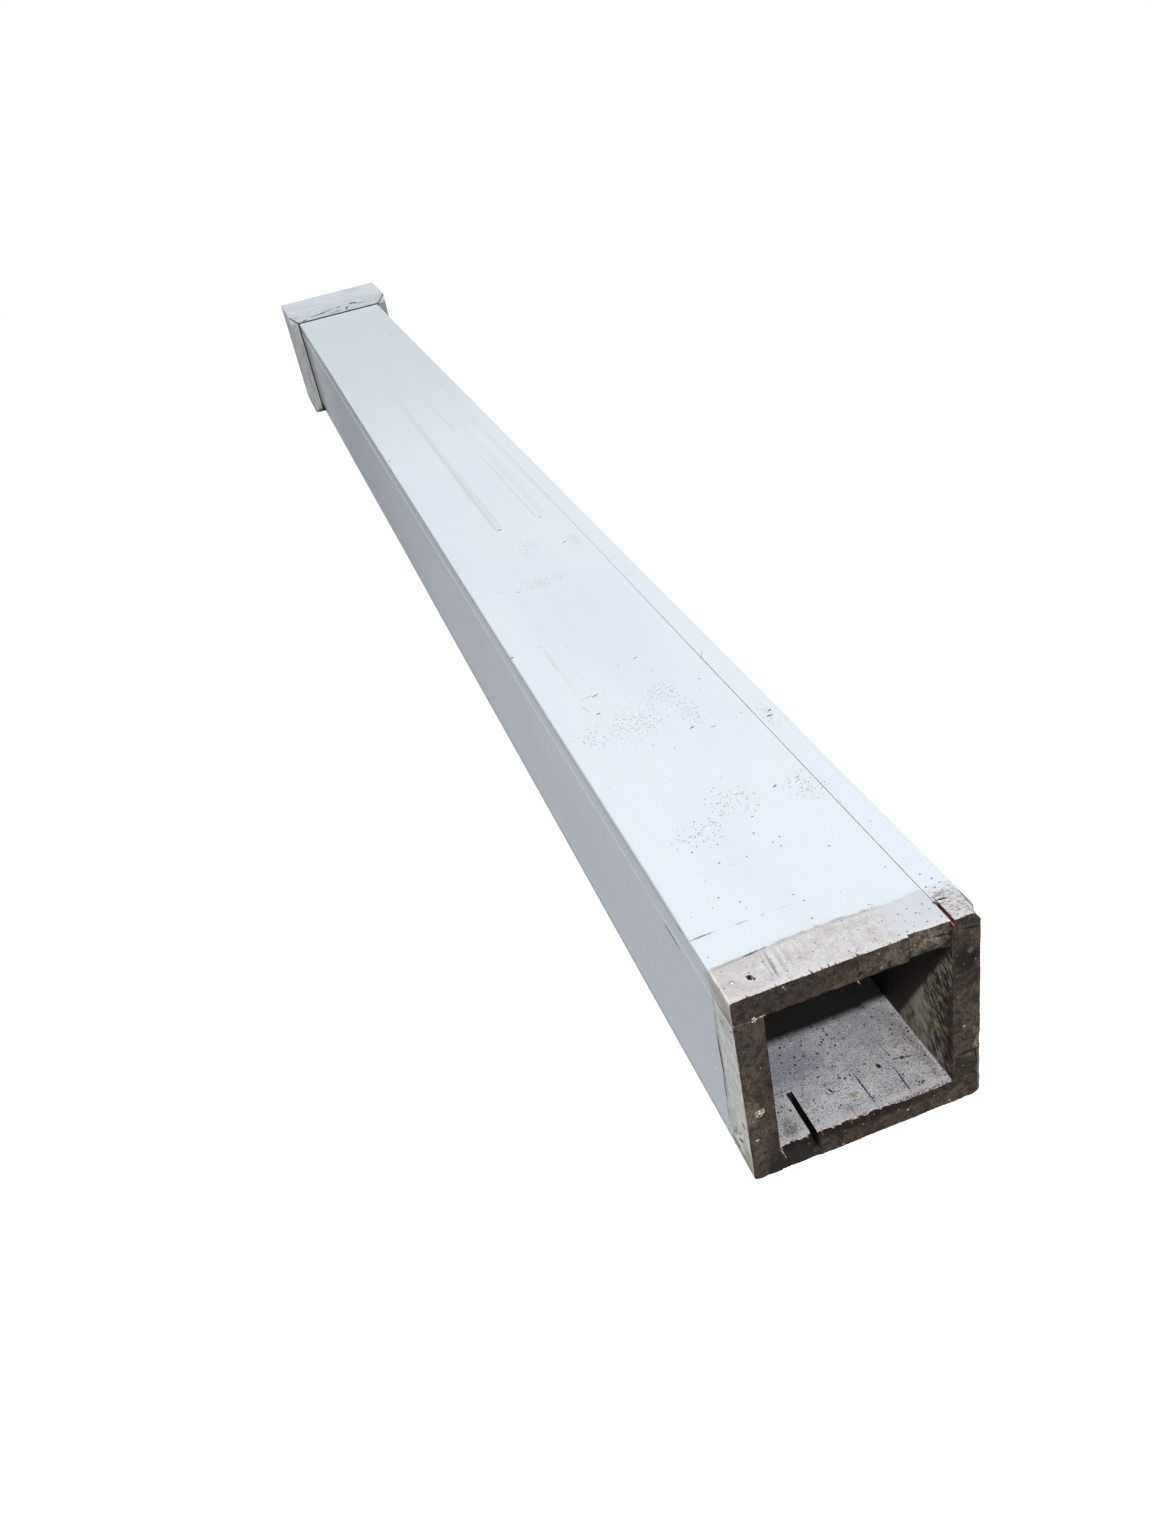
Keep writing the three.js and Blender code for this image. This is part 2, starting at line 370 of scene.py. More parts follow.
def wear_foot(points, side, width):
    """Shifts points near the foot: saw marks on the cut, then each board's own chips and splits."""
    x, y, z = points.T
    flat = np.stack([x, np.zeros_like(x), z], axis=-1)
    rough = 0.35 * noise(flat, 9, 3) + 0.22 * noise(flat, 2.6, 5)
    rough += SAW_DEPTH * np.sin(2 * np.pi * (x + SAW_SLANT * z) / SAW_PITCH)
    moved = points.copy()
    inward = np.maximum(rough + 0.15, 0)
    at_lip = step(z, BOARD - LIP, BOARD)
    if side == "top":
        rising = (STEP_DEPTH - STEP_END_DEPTH) * (x - STEP_AT) / (width - STEP_AT)
        inward += np.where(x >= STEP_AT, STEP_DEPTH - rising, 0)
        for check, depth in TOP_CHECKS:
            groove = bump(x, check, CHECK_HALF_WIDTH) * (1 - step(BOARD - z, 0, CHECK_HEIGHT))
            inward += groove * (1 - step(y, 0, depth)) * 0.8
            moved[:, 2] -= groove * (1 - step(y, depth * 0.4, depth + 0.6)) * 0.9
        sag = (1 - step(z, 0, 1.5)) * (0.4 + 0.5 * noise(flat, 4, 8))
        inward += np.maximum(sag, 0) * 1.2
    if side == "bottom":
        tongue = x > LONG_SLOT[0]
        inward += np.where(tongue, TONGUE_BACK, 0)
        lift = TONGUE_LIFT * (1 - step(y, 30, LONG_SLOT[2]))
        moved[:, 2] -= np.where(tongue & (z > BOARD - LIP), lift, 0)
        ragged = np.abs(noise(flat, 3.2, 11)) + 0.7 * np.abs(noise(flat, 1.3, 12))
        near = step(x, BITES[0] - 30, BITES[0]) * (1 - step(x, BITES[1], BITES[1] + 6))
        bite = (0.5 + BITE_DEPTH * near) * ragged * (1 - step(z, 0, 4.5))
        inward += bite
        moved[:, 2] += (1 - step(z, 0, 1.5)) * (1 - step(y, 0, 3)) * bite * 0.35
        inward += 1.4 * bump(x, 0, 6) * at_lip
    if side == "right":
        inward += 0.9 * bump(x, 105.5, 9.5) * at_lip
        inward += 0.35 * step(x, 113.5, 114.5)
        corner = (1 - step(x, 0, 7)) * at_lip
        inward += 1.5 * corner
        broken = RIGHT_CORNER * corner * (1 - step(y, 3, 9))
        moved[:, 2] -= broken
        moved[:, 0] += broken
        split = (1 - step(np.abs(x - SPLIT_AT), 3, 8)) * (1 - step(z, 0, 2.0))
        moved[:, 2] += 1.1 * split * (1 - step(y, 2, 8))
    if side == "left":
        inward += 0.8 * (1 - step(x, 4, 12)) * step(z, BOARD - 5, BOARD)
        inward += 0.6 * np.abs(noise(flat, 6, 14)) * step(z, BOARD - 3, BOARD)
        moved[:, 0] += 0.4 * (1 - step(x, 0, LIP)) * (1 - step(y, 25, 38))
    moved[:, 1] += inward * (1 - step(y, 0, CUT_REACH))
    return moved


def wave_faces(points, seed):
    """A slow waviness along the outer and inner faces and the exposed edge."""
    x, y, z = points.T
    slow = np.stack([x, y, np.zeros_like(x)], axis=-1)
    lift = 0.22 * noise(slow, (90, 420, 1), seed) + 0.06 * noise(slow, (30, 60, 1), seed + 1)
    moved = points.copy()
    clear_of_ends = step(y, 2, 60) * (1 - step(y, 1900, 2060))
    moved[:, 2] += (lift - 0.25) * step(z, BOARD - 4, BOARD) * clear_of_ends
    moved[:, 0] += (0.12 + 0.12 * noise(slow, (400, 300, 1), seed + 2)) * (x < ON_PLANE) * clear_of_ends
    return moved


corner = np.array([[30.0, 0.0, 10.0]])
worn = wear_foot(corner, "top", BOX_WIDTH - BOARD)
print("wear moves one point of the cut by", (worn - corner).round(2).tolist(), "mm")

# %% Shaping a board
ACROSS_SPACING = 1.45
THROUGH_SPACING = 1.4
FIRST_SPACING = 0.7
SPACING_GROWTH = 0.035
ON_PLANE = 0.01


def board_lines(side, width):
    """The lattice lines of a board along its three axes, with one at each edge of its faults."""
    cross = [ARRIS * share for share in (0.25, 0.5, 0.75, 1.0)]
    keep_x = [*cross, width - SEAM_BEVEL]
    keep_y = []
    keep_z = [BOARD - value for value in cross] + [SEAM_BEVEL]
    if side == "top":
        for place, radius in ((HOLE, HOLE_RADIUS), (NAIL, NAIL_HOLE)):
            keep_x += [place[0] - radius, place[0], place[0] + radius]
            keep_y += [place[1] - radius, place[1] + radius]
        keep_x += [STEP_AT - 0.1, STEP_AT]
        for check, _ in TOP_CHECKS:
            keep_x += [check - CHECK_HALF_WIDTH, check, check + CHECK_HALF_WIDTH]
        keep_z += [BOARD - HOLE_DEPTH, BOARD - NAIL_POCKET]
    if side == "right":
        keep_x += [SHORT_SLOT[0]]
        keep_y += [SHORT_SLOT[2]]
        keep_z += [SHORT_SLOT[1]]
    if side == "bottom":
        keep_x += [LONG_SLOT[0], LONG_SLOT[1]]
        keep_y += [LONG_SLOT[2]]
        keep_z += [LONG_SLOT[3]]
    xs = lines(0.0, width, ACROSS_SPACING, keep_x)
    ys = growing(0.0, SHAFT_LENGTH, FIRST_SPACING, SPACING_GROWTH, keep_y)
    zs = lines(0.0, BOARD, THROUGH_SPACING, keep_z)
    return xs, ys, zs


def board_shape(side):
    """A shaft board's points in its own frame, its quads and their sides: cells, then wear."""
    width = OFFSETS[side][2] - BOARD - SEAM_GAP
    xs, ys, zs = board_lines(side, width)
    centres = [(line[1:] + line[:-1]) / 2 for line in (xs, ys, zs)]
    gone = cut_cells(side, *centres)
    points, quads, sides = cell_surface(xs, ys, zs, ~gone)
    if side == "top":
        points = rounded_hole(points, HOLE, HOLE_RADIUS)
        points = rounded_hole(points, NAIL, NAIL_HOLE)
        on_top = points[:, 2] > BOARD - ON_PLANE
        ridge = bump(points[:, 1], band_edge(points[:, 0]), RIDGE_HALF_WIDTH)
        points[:, 2] += RIDGE_HEIGHT * ridge * on_top * (0.7 + 0.3 * noise(points, 5, 2))
    closed = step(points[:, 1], *SEAM_FADES)
    butt = np.abs(points[:, 0] - width) < ON_PLANE
    seam = butt & (np.abs(points[:, 2] - BOARD) < 0.6)
    points[seam, 0] -= SEAM_BEVEL * (1 - 0.8 * closed[seam])
    points[butt, 0] += SEAM_FILLED * closed[butt]
    inner_corner = (points[:, 0] < ON_PLANE) & (points[:, 2] < ON_PLANE)
    points[inner_corner, 0] += SEAM_BEVEL
    points = rounded_arris(points, ARRIS)
    points = wave_faces(points, 20 + QUARTERS[side])
    return wear_foot(points, side, width), quads, sides


def in_slot(side, middle):
    """Which faces are walls of a slot or a hole, from the middles of the faces."""
    x, y, z = middle.T
    inside = np.zeros(len(x), bool)
    if side == "right":
        inside = (x > 0.05) & (x < SHORT_SLOT[0] + 0.2) & (z > 0.05) & (z < SHORT_SLOT[1] + 0.2)
        inside &= y < SHORT_SLOT[2] + 0.6
    if side == "bottom":
        inside = (x > LONG_SLOT[0] - 0.05) & (x < LONG_SLOT[1] + 0.05) & (y < LONG_SLOT[2] + 0.6)
        inside &= (z > 0.3) & (z < LONG_SLOT[3] + 0.2)
    return inside


shafts = {}
for side in QUARTERS:
    points, quads, sides = board_shape(side)
    placed = to_shaft(points, side, OFFSETS[side][0])
    paint, cut, inner, raw, slot_wall = range(5)
    slot_of_side = {"+x": raw, "-x": paint, "+y": raw, "-y": cut, "+z": paint, "-z": inner}
    numbers = np.array([slot_of_side[name] for name in SIDES])[sides]
    middles = points[quads].mean(axis=1)
    numbers[(numbers == inner) & (middles[:, 0] < BOARD)] = raw
    numbers[in_slot(side, middles)] = slot_wall
    board = put_mesh(f"painted_board_{side}", in_frame(placed), quads.tolist(), numbers)
    add_value(board, "from_band", points[:, 1] - band_edge(placed[:, 0]))
    shafts[side] = board
    print(board.name, len(board.data.vertices), "vertices,", 2 * len(quads), "triangles")

# %% [markdown]
# The collar
# Four boards stand on the shaft's faces and meet at mitres, so a section through one is a trapezium.
# The same lattice is used: its lines across are spread as they rise, which makes the mitre. The near
# edges are uneven, with a flake lifting on the upper one.

# %% Shaping a collar board
FLAKE = (95.0, 118.0)
MITRE_GAP = 0.35
NEAR_REACH = 5
NEAR_ROUND = 1.5


def collar_shape(side):
    """A collar board: a block whose width grows by its own height on each side, then worn near edges."""
    span = OFFSETS[side][2]
    xs = lines(0.0, 1.0, 1 / 110)
    ys = COLLAR_START + growing(0.0, COLLAR_WIDTH, 0.9, 0.06)
    zs = lines(0.0, COLLAR_THICKNESS, 1.3)
    full = np.ones((len(xs) - 1, len(ys) - 1, len(zs) - 1), bool)
    points, quads, sides = cell_surface(xs, ys, zs, full)
    u, y, z = points.T
    low = MITRE_GAP - z
    high = span - MITRE_GAP + z
    x = low + (high - low) * u
    shaped = np.stack([x, y, z], axis=-1)
    from_edge = y - COLLAR_START
    at_edge = 1 - step(from_edge, 0, NEAR_REACH)
    flat = np.stack([x, np.zeros_like(x), z], axis=-1)
    shaped[:, 1] += (0.5 * np.abs(noise(flat, 7, 31)) + 0.3 * np.abs(noise(flat, 2.4, 33))) * at_edge
    outer = step(z, COLLAR_THICKNESS - 2.5, COLLAR_THICKNESS)
    worn = 0.5 + 0.5 * np.abs(noise(flat, 12, 35))
    shaped[:, 2] -= outer * at_edge * worn * (1 - step(from_edge, 0, NEAR_ROUND))
    corner = np.maximum(bump(x, low, 3.0), bump(x, high, 3.0)) * outer
    shaped[:, 2] -= 0.8 * corner
    shaped[:, 2] -= 0.15 * (1 + noise(np.stack([x, y, 0 * x], axis=-1), (60, 40, 1), 37)) * outer
    if side == "top":
        lifted = step(x, FLAKE[0] - 2, FLAKE[0]) * (1 - step(x, FLAKE[1] - 6, FLAKE[1]))
        shaped[:, 1] -= 1.2 * lifted * at_edge * step(z, 3, 12)
    return shaped, quads, sides


collars = {}
for side in QUARTERS:
    points, quads, sides = collar_shape(side)
    placed = to_shaft(points, side, OFFSETS[side][1])
    outer_paint, near_edge, hidden = range(3)
    slot_of_side = {"-y": near_edge, "+z": outer_paint}
    numbers = np.array([slot_of_side.get(name, hidden) for name in SIDES])[sides]
    collar = put_mesh(f"collar_{side}", in_frame(placed), quads.tolist(), numbers)
    collars[side] = collar
    print(collar.name, 2 * len(quads), "triangles")

# %% [markdown]
# The light
# One broad lamp above the foot does most of the work. It reaches 88 mm into the channel before the
# top board's edge shades it, which gives its slope, and it is far enough off that the head gets only
# a little less than the foot. A pale sky and a pale floor fill the rest.

# %% Helpers for nodes
WHITE = (1.0, 1.0, 1.0, 1.0)
MIX_BELOW = 6
MIX_ABOVE = 7
MIX_RESULT = 2


def new_material(name):
    """A material with an empty node tree, and that tree."""
    material = bpy.data.materials.new(name)
    material.use_nodes = True
    material.node_tree.nodes.clear()
    return material, material.node_tree


def put(tree, kind, values=None, **settings):
    """Adds a node, sets its options, then sets or links its inputs by name or number."""
    made = tree.nodes.new(kind)
    for key, value in settings.items():
        setattr(made, key, value)
    for key, value in (values or {}).items():
        if isinstance(value, bpy.types.NodeSocket):
            tree.links.new(value, made.inputs[key])
        else:
            made.inputs[key].default_value = value
    return made


def add(kind, values, **settings):
    """Adds a node to the tree of the sockets it takes: a socket knows the tree that it is in."""
    tree = next(value.id_data for value in values.values() if isinstance(value, bpy.types.NodeSocket))
    return put(tree, kind, values, **settings)


def maths(operation, *values):
    """One Math node on numbers or sockets."""
    return add("ShaderNodeMath", dict(enumerate(values)), operation=operation).outputs[0]


def times(*factors):
    """The product of several numbers or sockets."""
    product = factors[0]
    for factor in factors[1:]:
        product = maths("MULTIPLY", product, factor)
    return product


def ramp(value, low, high, start=0.0, end=1.0):
    """A smooth change of a value from start at low to end at high."""
    values = {"Value": value, "From Min": low, "From Max": high, "To Min": start, "To Max": end}
    return add("ShaderNodeMapRange", values, interpolation_type="SMOOTHSTEP").outputs[0]


def over(factor, below, above, kind="MIX"):
    """One colour over another by a factor; a Mix node's colour sockets go by number."""
    values = {0: factor, MIX_BELOW: below, MIX_ABOVE: above}
    return add("ShaderNodeMix", values, data_type="RGBA", blend_type=kind).outputs[MIX_RESULT]
print("node helpers:", [helper.__name__ for helper in (put, add, maths, times, ramp, over)])

# %% Floor, lamp and sky
LAMP_SLOPE = 1.42
LAMP_SIDE = 0.13
LAMP_DISTANCE = 20.0
LAMP_WIDTH = 1.0
LAMP_WATTS = 4300.0
SKY_FILL = 0.30
BOUNCE = 0.55
FLOOR_SHOWN = 0.95
FLOOR_LIFT = 0.22
FLOOR_HALF = 40.0
PLAIN_FROM = 1.3
PLAIN_TO = 3.5


def facing(axis, place):
    """A matrix whose Z is the given direction, at a place."""
    z_axis = np.array(axis) / np.linalg.norm(axis)
    x_axis = np.cross([0.0, 1.0, 0.0], z_axis)
    x_axis /= np.linalg.norm(x_axis)
    axes = np.array([x_axis, np.cross(z_axis, x_axis), z_axis]).T
    return Matrix([[*row, p] for row, p in zip(axes, place)] + [[0, 0, 0, 1]])


floor_corners = np.array([[x, y, 0.0] for x in (-1, 1) for y in (-1, 1)]) * FLOOR_HALF
floor = put_mesh("floor", floor_corners, [[0, 2, 3, 1]])
floor_material, tree = new_material("pale_floor")
seen = put(tree, "ShaderNodeLightPath").outputs["Is Camera Ray"]
tone = over(seen, (BOUNCE, BOUNCE, BOUNCE, 1.0), (FLOOR_SHOWN, FLOOR_SHOWN, FLOOR_SHOWN, 1.0))
diffuse = put(tree, "ShaderNodeBsdfDiffuse", {"Color": tone})
faint = put(tree, "ShaderNodeEmission", {"Color": WHITE, "Strength": times(seen, FLOOR_LIFT)})
lifted = put(tree, "ShaderNodeAddShader", {0: diffuse.outputs[0], 1: faint.outputs[0]})
centre = put(tree, "ShaderNodeTexCoord").outputs["Object"]
away = add("ShaderNodeVectorMath", {0: centre}, operation="LENGTH").outputs["Value"]
plain = times(ramp(away, PLAIN_FROM, PLAIN_TO), seen)
glow = put(tree, "ShaderNodeEmission", {"Color": WHITE, "Strength": 1.0})
ground = put(tree, "ShaderNodeMixShader", {0: plain, 1: lifted.outputs[0], 2: glow.outputs[0]})
put(tree, "ShaderNodeOutputMaterial", {"Surface": ground.outputs[0]})
floor.data.materials.append(floor_material)

lamp_data = bpy.data.lights.new("studio_lamp", "AREA")
lamp_data.shape = "DISK"
lamp_data.size = LAMP_WIDTH
lamp_data.energy = LAMP_WATTS
toward = np.array([-LAMP_SIDE, -1.0, LAMP_SLOPE])
toward /= np.linalg.norm(toward)
foot = in_frame(np.array([BOX_WIDTH / 2, 0.0, BOX_HEIGHT]))
lamp = link(bpy.data.objects.new("studio_lamp", lamp_data))
lamp.matrix_world = facing(toward, foot + toward * LAMP_DISTANCE)

world = bpy.data.worlds.new("pale_studio")
world.use_nodes = True
tree = world.node_tree
tree.nodes.clear()
seen = put(tree, "ShaderNodeLightPath").outputs["Is Camera Ray"]
fill = maths("MULTIPLY_ADD", seen, 1.0 - SKY_FILL, SKY_FILL)
sky = put(tree, "ShaderNodeBackground", {"Color": WHITE, "Strength": fill})
put(tree, "ShaderNodeOutputWorld", {"Surface": sky.outputs[0]})
bpy.context.scene.world = world
bpy.context.scene.view_settings.view_transform = "Standard"
print("lamp at", np.round(lamp.matrix_world.translation, 2).tolist())

# %% [markdown]
# Patterns measured in millimetres
# Every material starts from the same place: the Object coordinates, moved and turned into the shaft's
# frame by one Mapping node, so that a stain can be placed by its distance from the foot. Colours are
# written as they show on a screen, from 0 to 255, and divided by the light that falls on their face.
# Grain and soft marks turn up in every material, so each is a node group, built once. A soft mark is
# the unit ball, stretched, turned and moved to its place by a Mapping node. It is thin across its
# face, so it marks that face alone.

# %% Helpers for places and colours
def shaft_place(tree):
    """The shaded point in shaft millimetres: the inverse of the turn and the shift of in_frame."""
    values = {
        "Vector": put(tree, "ShaderNodeTexCoord").outputs["Object"],
        "Location": (SHAFT_ORIGIN * MILLIMETRE).tolist(),
        "Rotation": (float(TILT), 0, 0),
        "Scale": (MILLIMETRE,) * 3,
    }
    return put(tree, "ShaderNodeMapping", values, vector_type="TEXTURE").outputs[0]


def apart(position):
    """The X, Y and Z of a position."""
    return add("ShaderNodeSeparateXYZ", {0: position}).outputs


def shaken(position, size, reach):
    """The position moved by up to half of reach, by a noise of that size, to make edges ragged.

    The last Mapping node changes nothing: it holds the moved position once for all the marks that use it.
    """
    values = {"Vector": position, "Scale": 1 / size, "Detail": 2.0}
    colour = add("ShaderNodeTexNoise", values).outputs["Color"]
    centred = add("ShaderNodeVectorMath", {0: colour, 1: (0.5,) * 3}, operation="SUBTRACT")
    scaled = add("ShaderNodeVectorMath", {0: centred.outputs[0], "Scale": reach}, operation="SCALE")
    moved = add("ShaderNodeVectorMath", {0: position, 1: scaled.outputs[0]}, operation="ADD")
    return add("ShaderNodeMapping", {"Vector": moved.outputs[0]}).outputs[0]


def shade(display, light=1.0):
    """The surface colour that shows as a display colour, 0 to 255, under that much light."""
    value = np.array(display) / 255
    linear = np.where(value <= 0.04045, value / 12.92, ((value + 0.055) / 1.055) ** 2.4)
    return (*(linear / light).tolist(), 1.0)


def two_tones(pattern, low, high, first, second, light):
    """The first display colour where the pattern is below low, the second where it is above high."""
    return over(ramp(pattern, low, high), shade(first, light), shade(second, light))


def layered(colour, light, *layers):
    """Lays display colours over the colour, each by its own mask."""
    for mask, tint in layers:
        colour = over(mask, colour, shade(tint, light))
    return colour


print("white paint as a surface colour:", np.round(shade((233, 241, 250)), 3).tolist())

# %% Grain and soft marks as node groups
def new_group(name, inputs, outputs):
    """An empty node group with named sockets of the given kinds, and its inputs to link from."""
    group = bpy.data.node_groups.new(name, "ShaderNodeTree")
    for direction, sockets in (("INPUT", inputs), ("OUTPUT", outputs)):
        for label, kind in sockets.items():
            group.interface.new_socket(name=label, in_out=direction, socket_type=f"NodeSocket{kind}")
    return group, put(group, "NodeGroupInput").outputs


def grain_group():
    """Group: noise from 0 to 1 at a Position, with features of a Size along axes with a Turn."""
    inputs = {name: "Vector" for name in ("Position", "Size", "Offset", "Turn")}
    inputs |= {"Detail": "Float", "Roughness": "Float"}
    group, given = new_group("grain", inputs, {"Value": "Float"})
    values = {
        "Vector": given["Position"],
        "Location": given["Offset"],
        "Rotation": given["Turn"],
        "Scale": given["Size"],
    }
    vector = put(group, "ShaderNodeMapping", values, vector_type="TEXTURE").outputs[0]
    values = {"Vector": vector, "Scale": 1.0, "Detail": given["Detail"], "Roughness": given["Roughness"]}
    put(group, "NodeGroupOutput", {"Value": put(group, "ShaderNodeTexNoise", values).outputs["Fac"]})
    return group


def mark_group():
    """Group: a soft ball's Mask, and the Tint laid over the colour Below by that mask as Colour."""
    inputs = {name: "Vector" for name in ("Position", "Place", "Size", "Turn")}
    inputs |= {"Rim": "Float", "Strength": "Float", "Below": "Color", "Tint": "Color"}
    group, given = new_group("soft_mark", inputs, {"Mask": "Float", "Colour": "Color"})
    values = {
        "Vector": given["Position"],
        "Location": given["Place"],
        "Rotation": given["Turn"],
        "Scale": given["Size"],
    }
    ball = put(group, "ShaderNodeMapping", values, vector_type="TEXTURE").outputs[0]
    inside = put(group, "ShaderNodeTexGradient", {"Vector": ball}, gradient_type="SPHERICAL").outputs["Fac"]
    mask = ramp(inside, 0.0, given["Rim"], 0.0, given["Strength"])
    put(group, "NodeGroupOutput", {"Mask": mask, "Colour": over(mask, given["Below"], given["Tint"])})
    return group


GRAIN = grain_group()
SOFT_MARK = mark_group()


def grain(position, size, offset=(0, 0, 0), detail=3.0, roughness=0.55, turn=(0, 0, 0)):
    """Places the grain group: sizes and offset in millimetres, turn in degrees."""
    values = {
        "Position": position,
        "Size": size,
        "Offset": offset,
        "Turn": np.radians(turn).tolist(),
        "Detail": detail,
        "Roughness": roughness,
    }
    return add("ShaderNodeGroup", values, node_tree=GRAIN).outputs["Value"]


def soft_mark(position, place, size, turn=(0, 0, 0), strength=1.0, core=0.4, **colours):
    """Places the mark group: half sizes in millimetres, turn in degrees, full strength in its core."""
    values = {
        "Position": position,
        "Place": place,
        "Size": size,
        "Turn": np.radians(turn).tolist(),
        "Rim": 1.0 - core,
        "Strength": strength,
    }
    return add("ShaderNodeGroup", values | colours, node_tree=SOFT_MARK).outputs


for group in (GRAIN, SOFT_MARK):
    print(group.name, "has", len(group.nodes), "nodes")

# %% Marks on the faces
FACES = {
    "top": lambda u, v: (u, v, BOX_HEIGHT),
    "left": lambda u, v: (0.0, u, v),
    "end": lambda u, v: (u, 0.0, v),
    "floor": lambda u, v: (u, v, BOARD),
    "wall": lambda u, v: (BOX_WIDTH - BOARD, u, v),
    "collar": lambda u, v: (u, COLLAR_START, v),
}
FACE_DEPTH = 4.0


def on_face(face, u, v, half_u, half_v, angle=0.0):
    """Place, half sizes and turn of a mark on a face: u and v are the face's own two coordinates."""
    place = FACES[face](u, v)
    if face in ("top", "floor"):
        return place, (half_u, half_v, FACE_DEPTH), (0, 0, angle)
    if face in ("left", "wall"):
        return place, (FACE_DEPTH, half_u, half_v), (angle, 0, 0)
    return place, (half_u, FACE_DEPTH, half_v), (0, -angle, 0)


def marked(colour, position, face, light, marks):
    """Lays marks over the colour: each is u, v, half u, half v, angle, display colour and strength."""
    for *where, tint, strength in marks:
        tints = {"Below": colour, "Tint": shade(tint, light)}
        colour = soft_mark(position, *on_face(face, *where), strength, **tints)["Colour"]
    return colour


def dotted(colour, position, face, light, radius, tint, strength, places):
    """Lays round dots of one size and colour at the places."""
    marks = [(u, v, radius, radius, 0.0, tint, strength) for u, v in places]
    return marked(colour, position, face, light, marks)


def trail(x, y, start_x, start_y, length, half_width, drift):
    """A run along the top: sharp at its start, narrow across, fading out along its length."""
    along = maths("SUBTRACT", y, start_y)
    across = maths("ABSOLUTE", maths("SUBTRACT", x, maths("MULTIPLY_ADD", along, drift, start_x)))
    return times(
        ramp(across, half_width * 0.3, half_width, 1.0, 0.0),
        ramp(along, 0.0, 2.0),
        ramp(along, length * 0.15, length, 1.0, 0.0),
    )


print("a mark on the left face:", on_face("left", 100.0, 20.0, 3.0, 1.0))

# %% [markdown]
# Specks as a node group
# Dust and fly specks turn up in the paint, in the channel and on the collar, so they are one group
# with its own sockets. A Voronoi pattern gives each cell a random colour, which decides whether the
# cell has a speck and how large it is. It works in two directions, so each face is laid flat first.

# %% The speck group
SPECK_EDGE = 0.09


def speck_group():
    """Group: Position, Cell size, Share of cells with a speck, and Size of a speck; puts out Mask."""
    inputs = {"Position": "Vector", "Cell": "Float", "Share": "Float", "Size": "Float"}
    group, given = new_group("small_specks", inputs, {"Mask": "Float"})
    scale = maths("DIVIDE", 1.0, given["Cell"])
    scaled = add("ShaderNodeVectorMath", {0: given["Position"], "Scale": scale}, operation="SCALE")
    values = {"Vector": scaled.outputs[0], "Scale": 1.0}
    cell = add("ShaderNodeTexVoronoi", values, voronoi_dimensions="2D").outputs
    chance = add("ShaderNodeSeparateColor", {0: cell["Color"]}).outputs
    short = maths("SUBTRACT", times(chance[1], given["Size"]), cell["Distance"])
    chosen = maths("LESS_THAN", chance[0], given["Share"])
    put(group, "NodeGroupOutput", {"Mask": times(ramp(short, 0.0, SPECK_EDGE), chosen)})
    return group


SPECKS = speck_group()
END_TURN = (90, 0, 0)
SIDE_TURN = (0, 90, 0)


def specks(position, cell, share, size):
    """Places the speck group and gives its mask."""
    values = {"Position": position, "Cell": cell, "Share": share, "Size": size}
    return add("ShaderNodeGroup", values, node_tree=SPECKS).outputs["Mask"]


def laid_flat(position, turn):
    """The position turned in degrees, so that the face to be speckled lies in its first two directions."""
    values = {"Vector": position, "Rotation": np.radians(turn).tolist()}
    return add("ShaderNodeMapping", values).outputs[0]


def finish_material(colour, roughness, height, depth_mm):
    """Principled surface with a bump: the height is in units of the given depth in millimetres."""
    tree = colour.id_data
    relief = put(tree, "ShaderNodeBump", {"Height": height, "Distance": depth_mm * MILLIMETRE})
    values = {"Base Color": colour, "Roughness": roughness, "Normal": relief.outputs[0]}
    surface = put(tree, "ShaderNodeBsdfPrincipled", values)
    surface.inputs["Specular IOR Level"].default_value = 0.3
    put(tree, "ShaderNodeOutputMaterial", {"Surface": surface.outputs[0]})


print(SPECKS.name, "has", len(SPECKS.nodes), "nodes")

# %% [markdown]
# White paint on the boards
# The outside is old white paint with a faint blue cast, greyer towards the head; on the left face that
# darkening, and a darker stretch by the collar, are painted shade. Below the trim's line it is a dirty,
# warm grey. The marks are listed by their place, in millimetres from the left and from the foot on the
# upper face, and from the foot and from the ground's side on the left face.

# %% Marks in the paint
TOP_LIGHT = 1.165
LEFT_LIGHT = 0.58
GREY = (134, 136, 140)
DARK = (64, 61, 63)

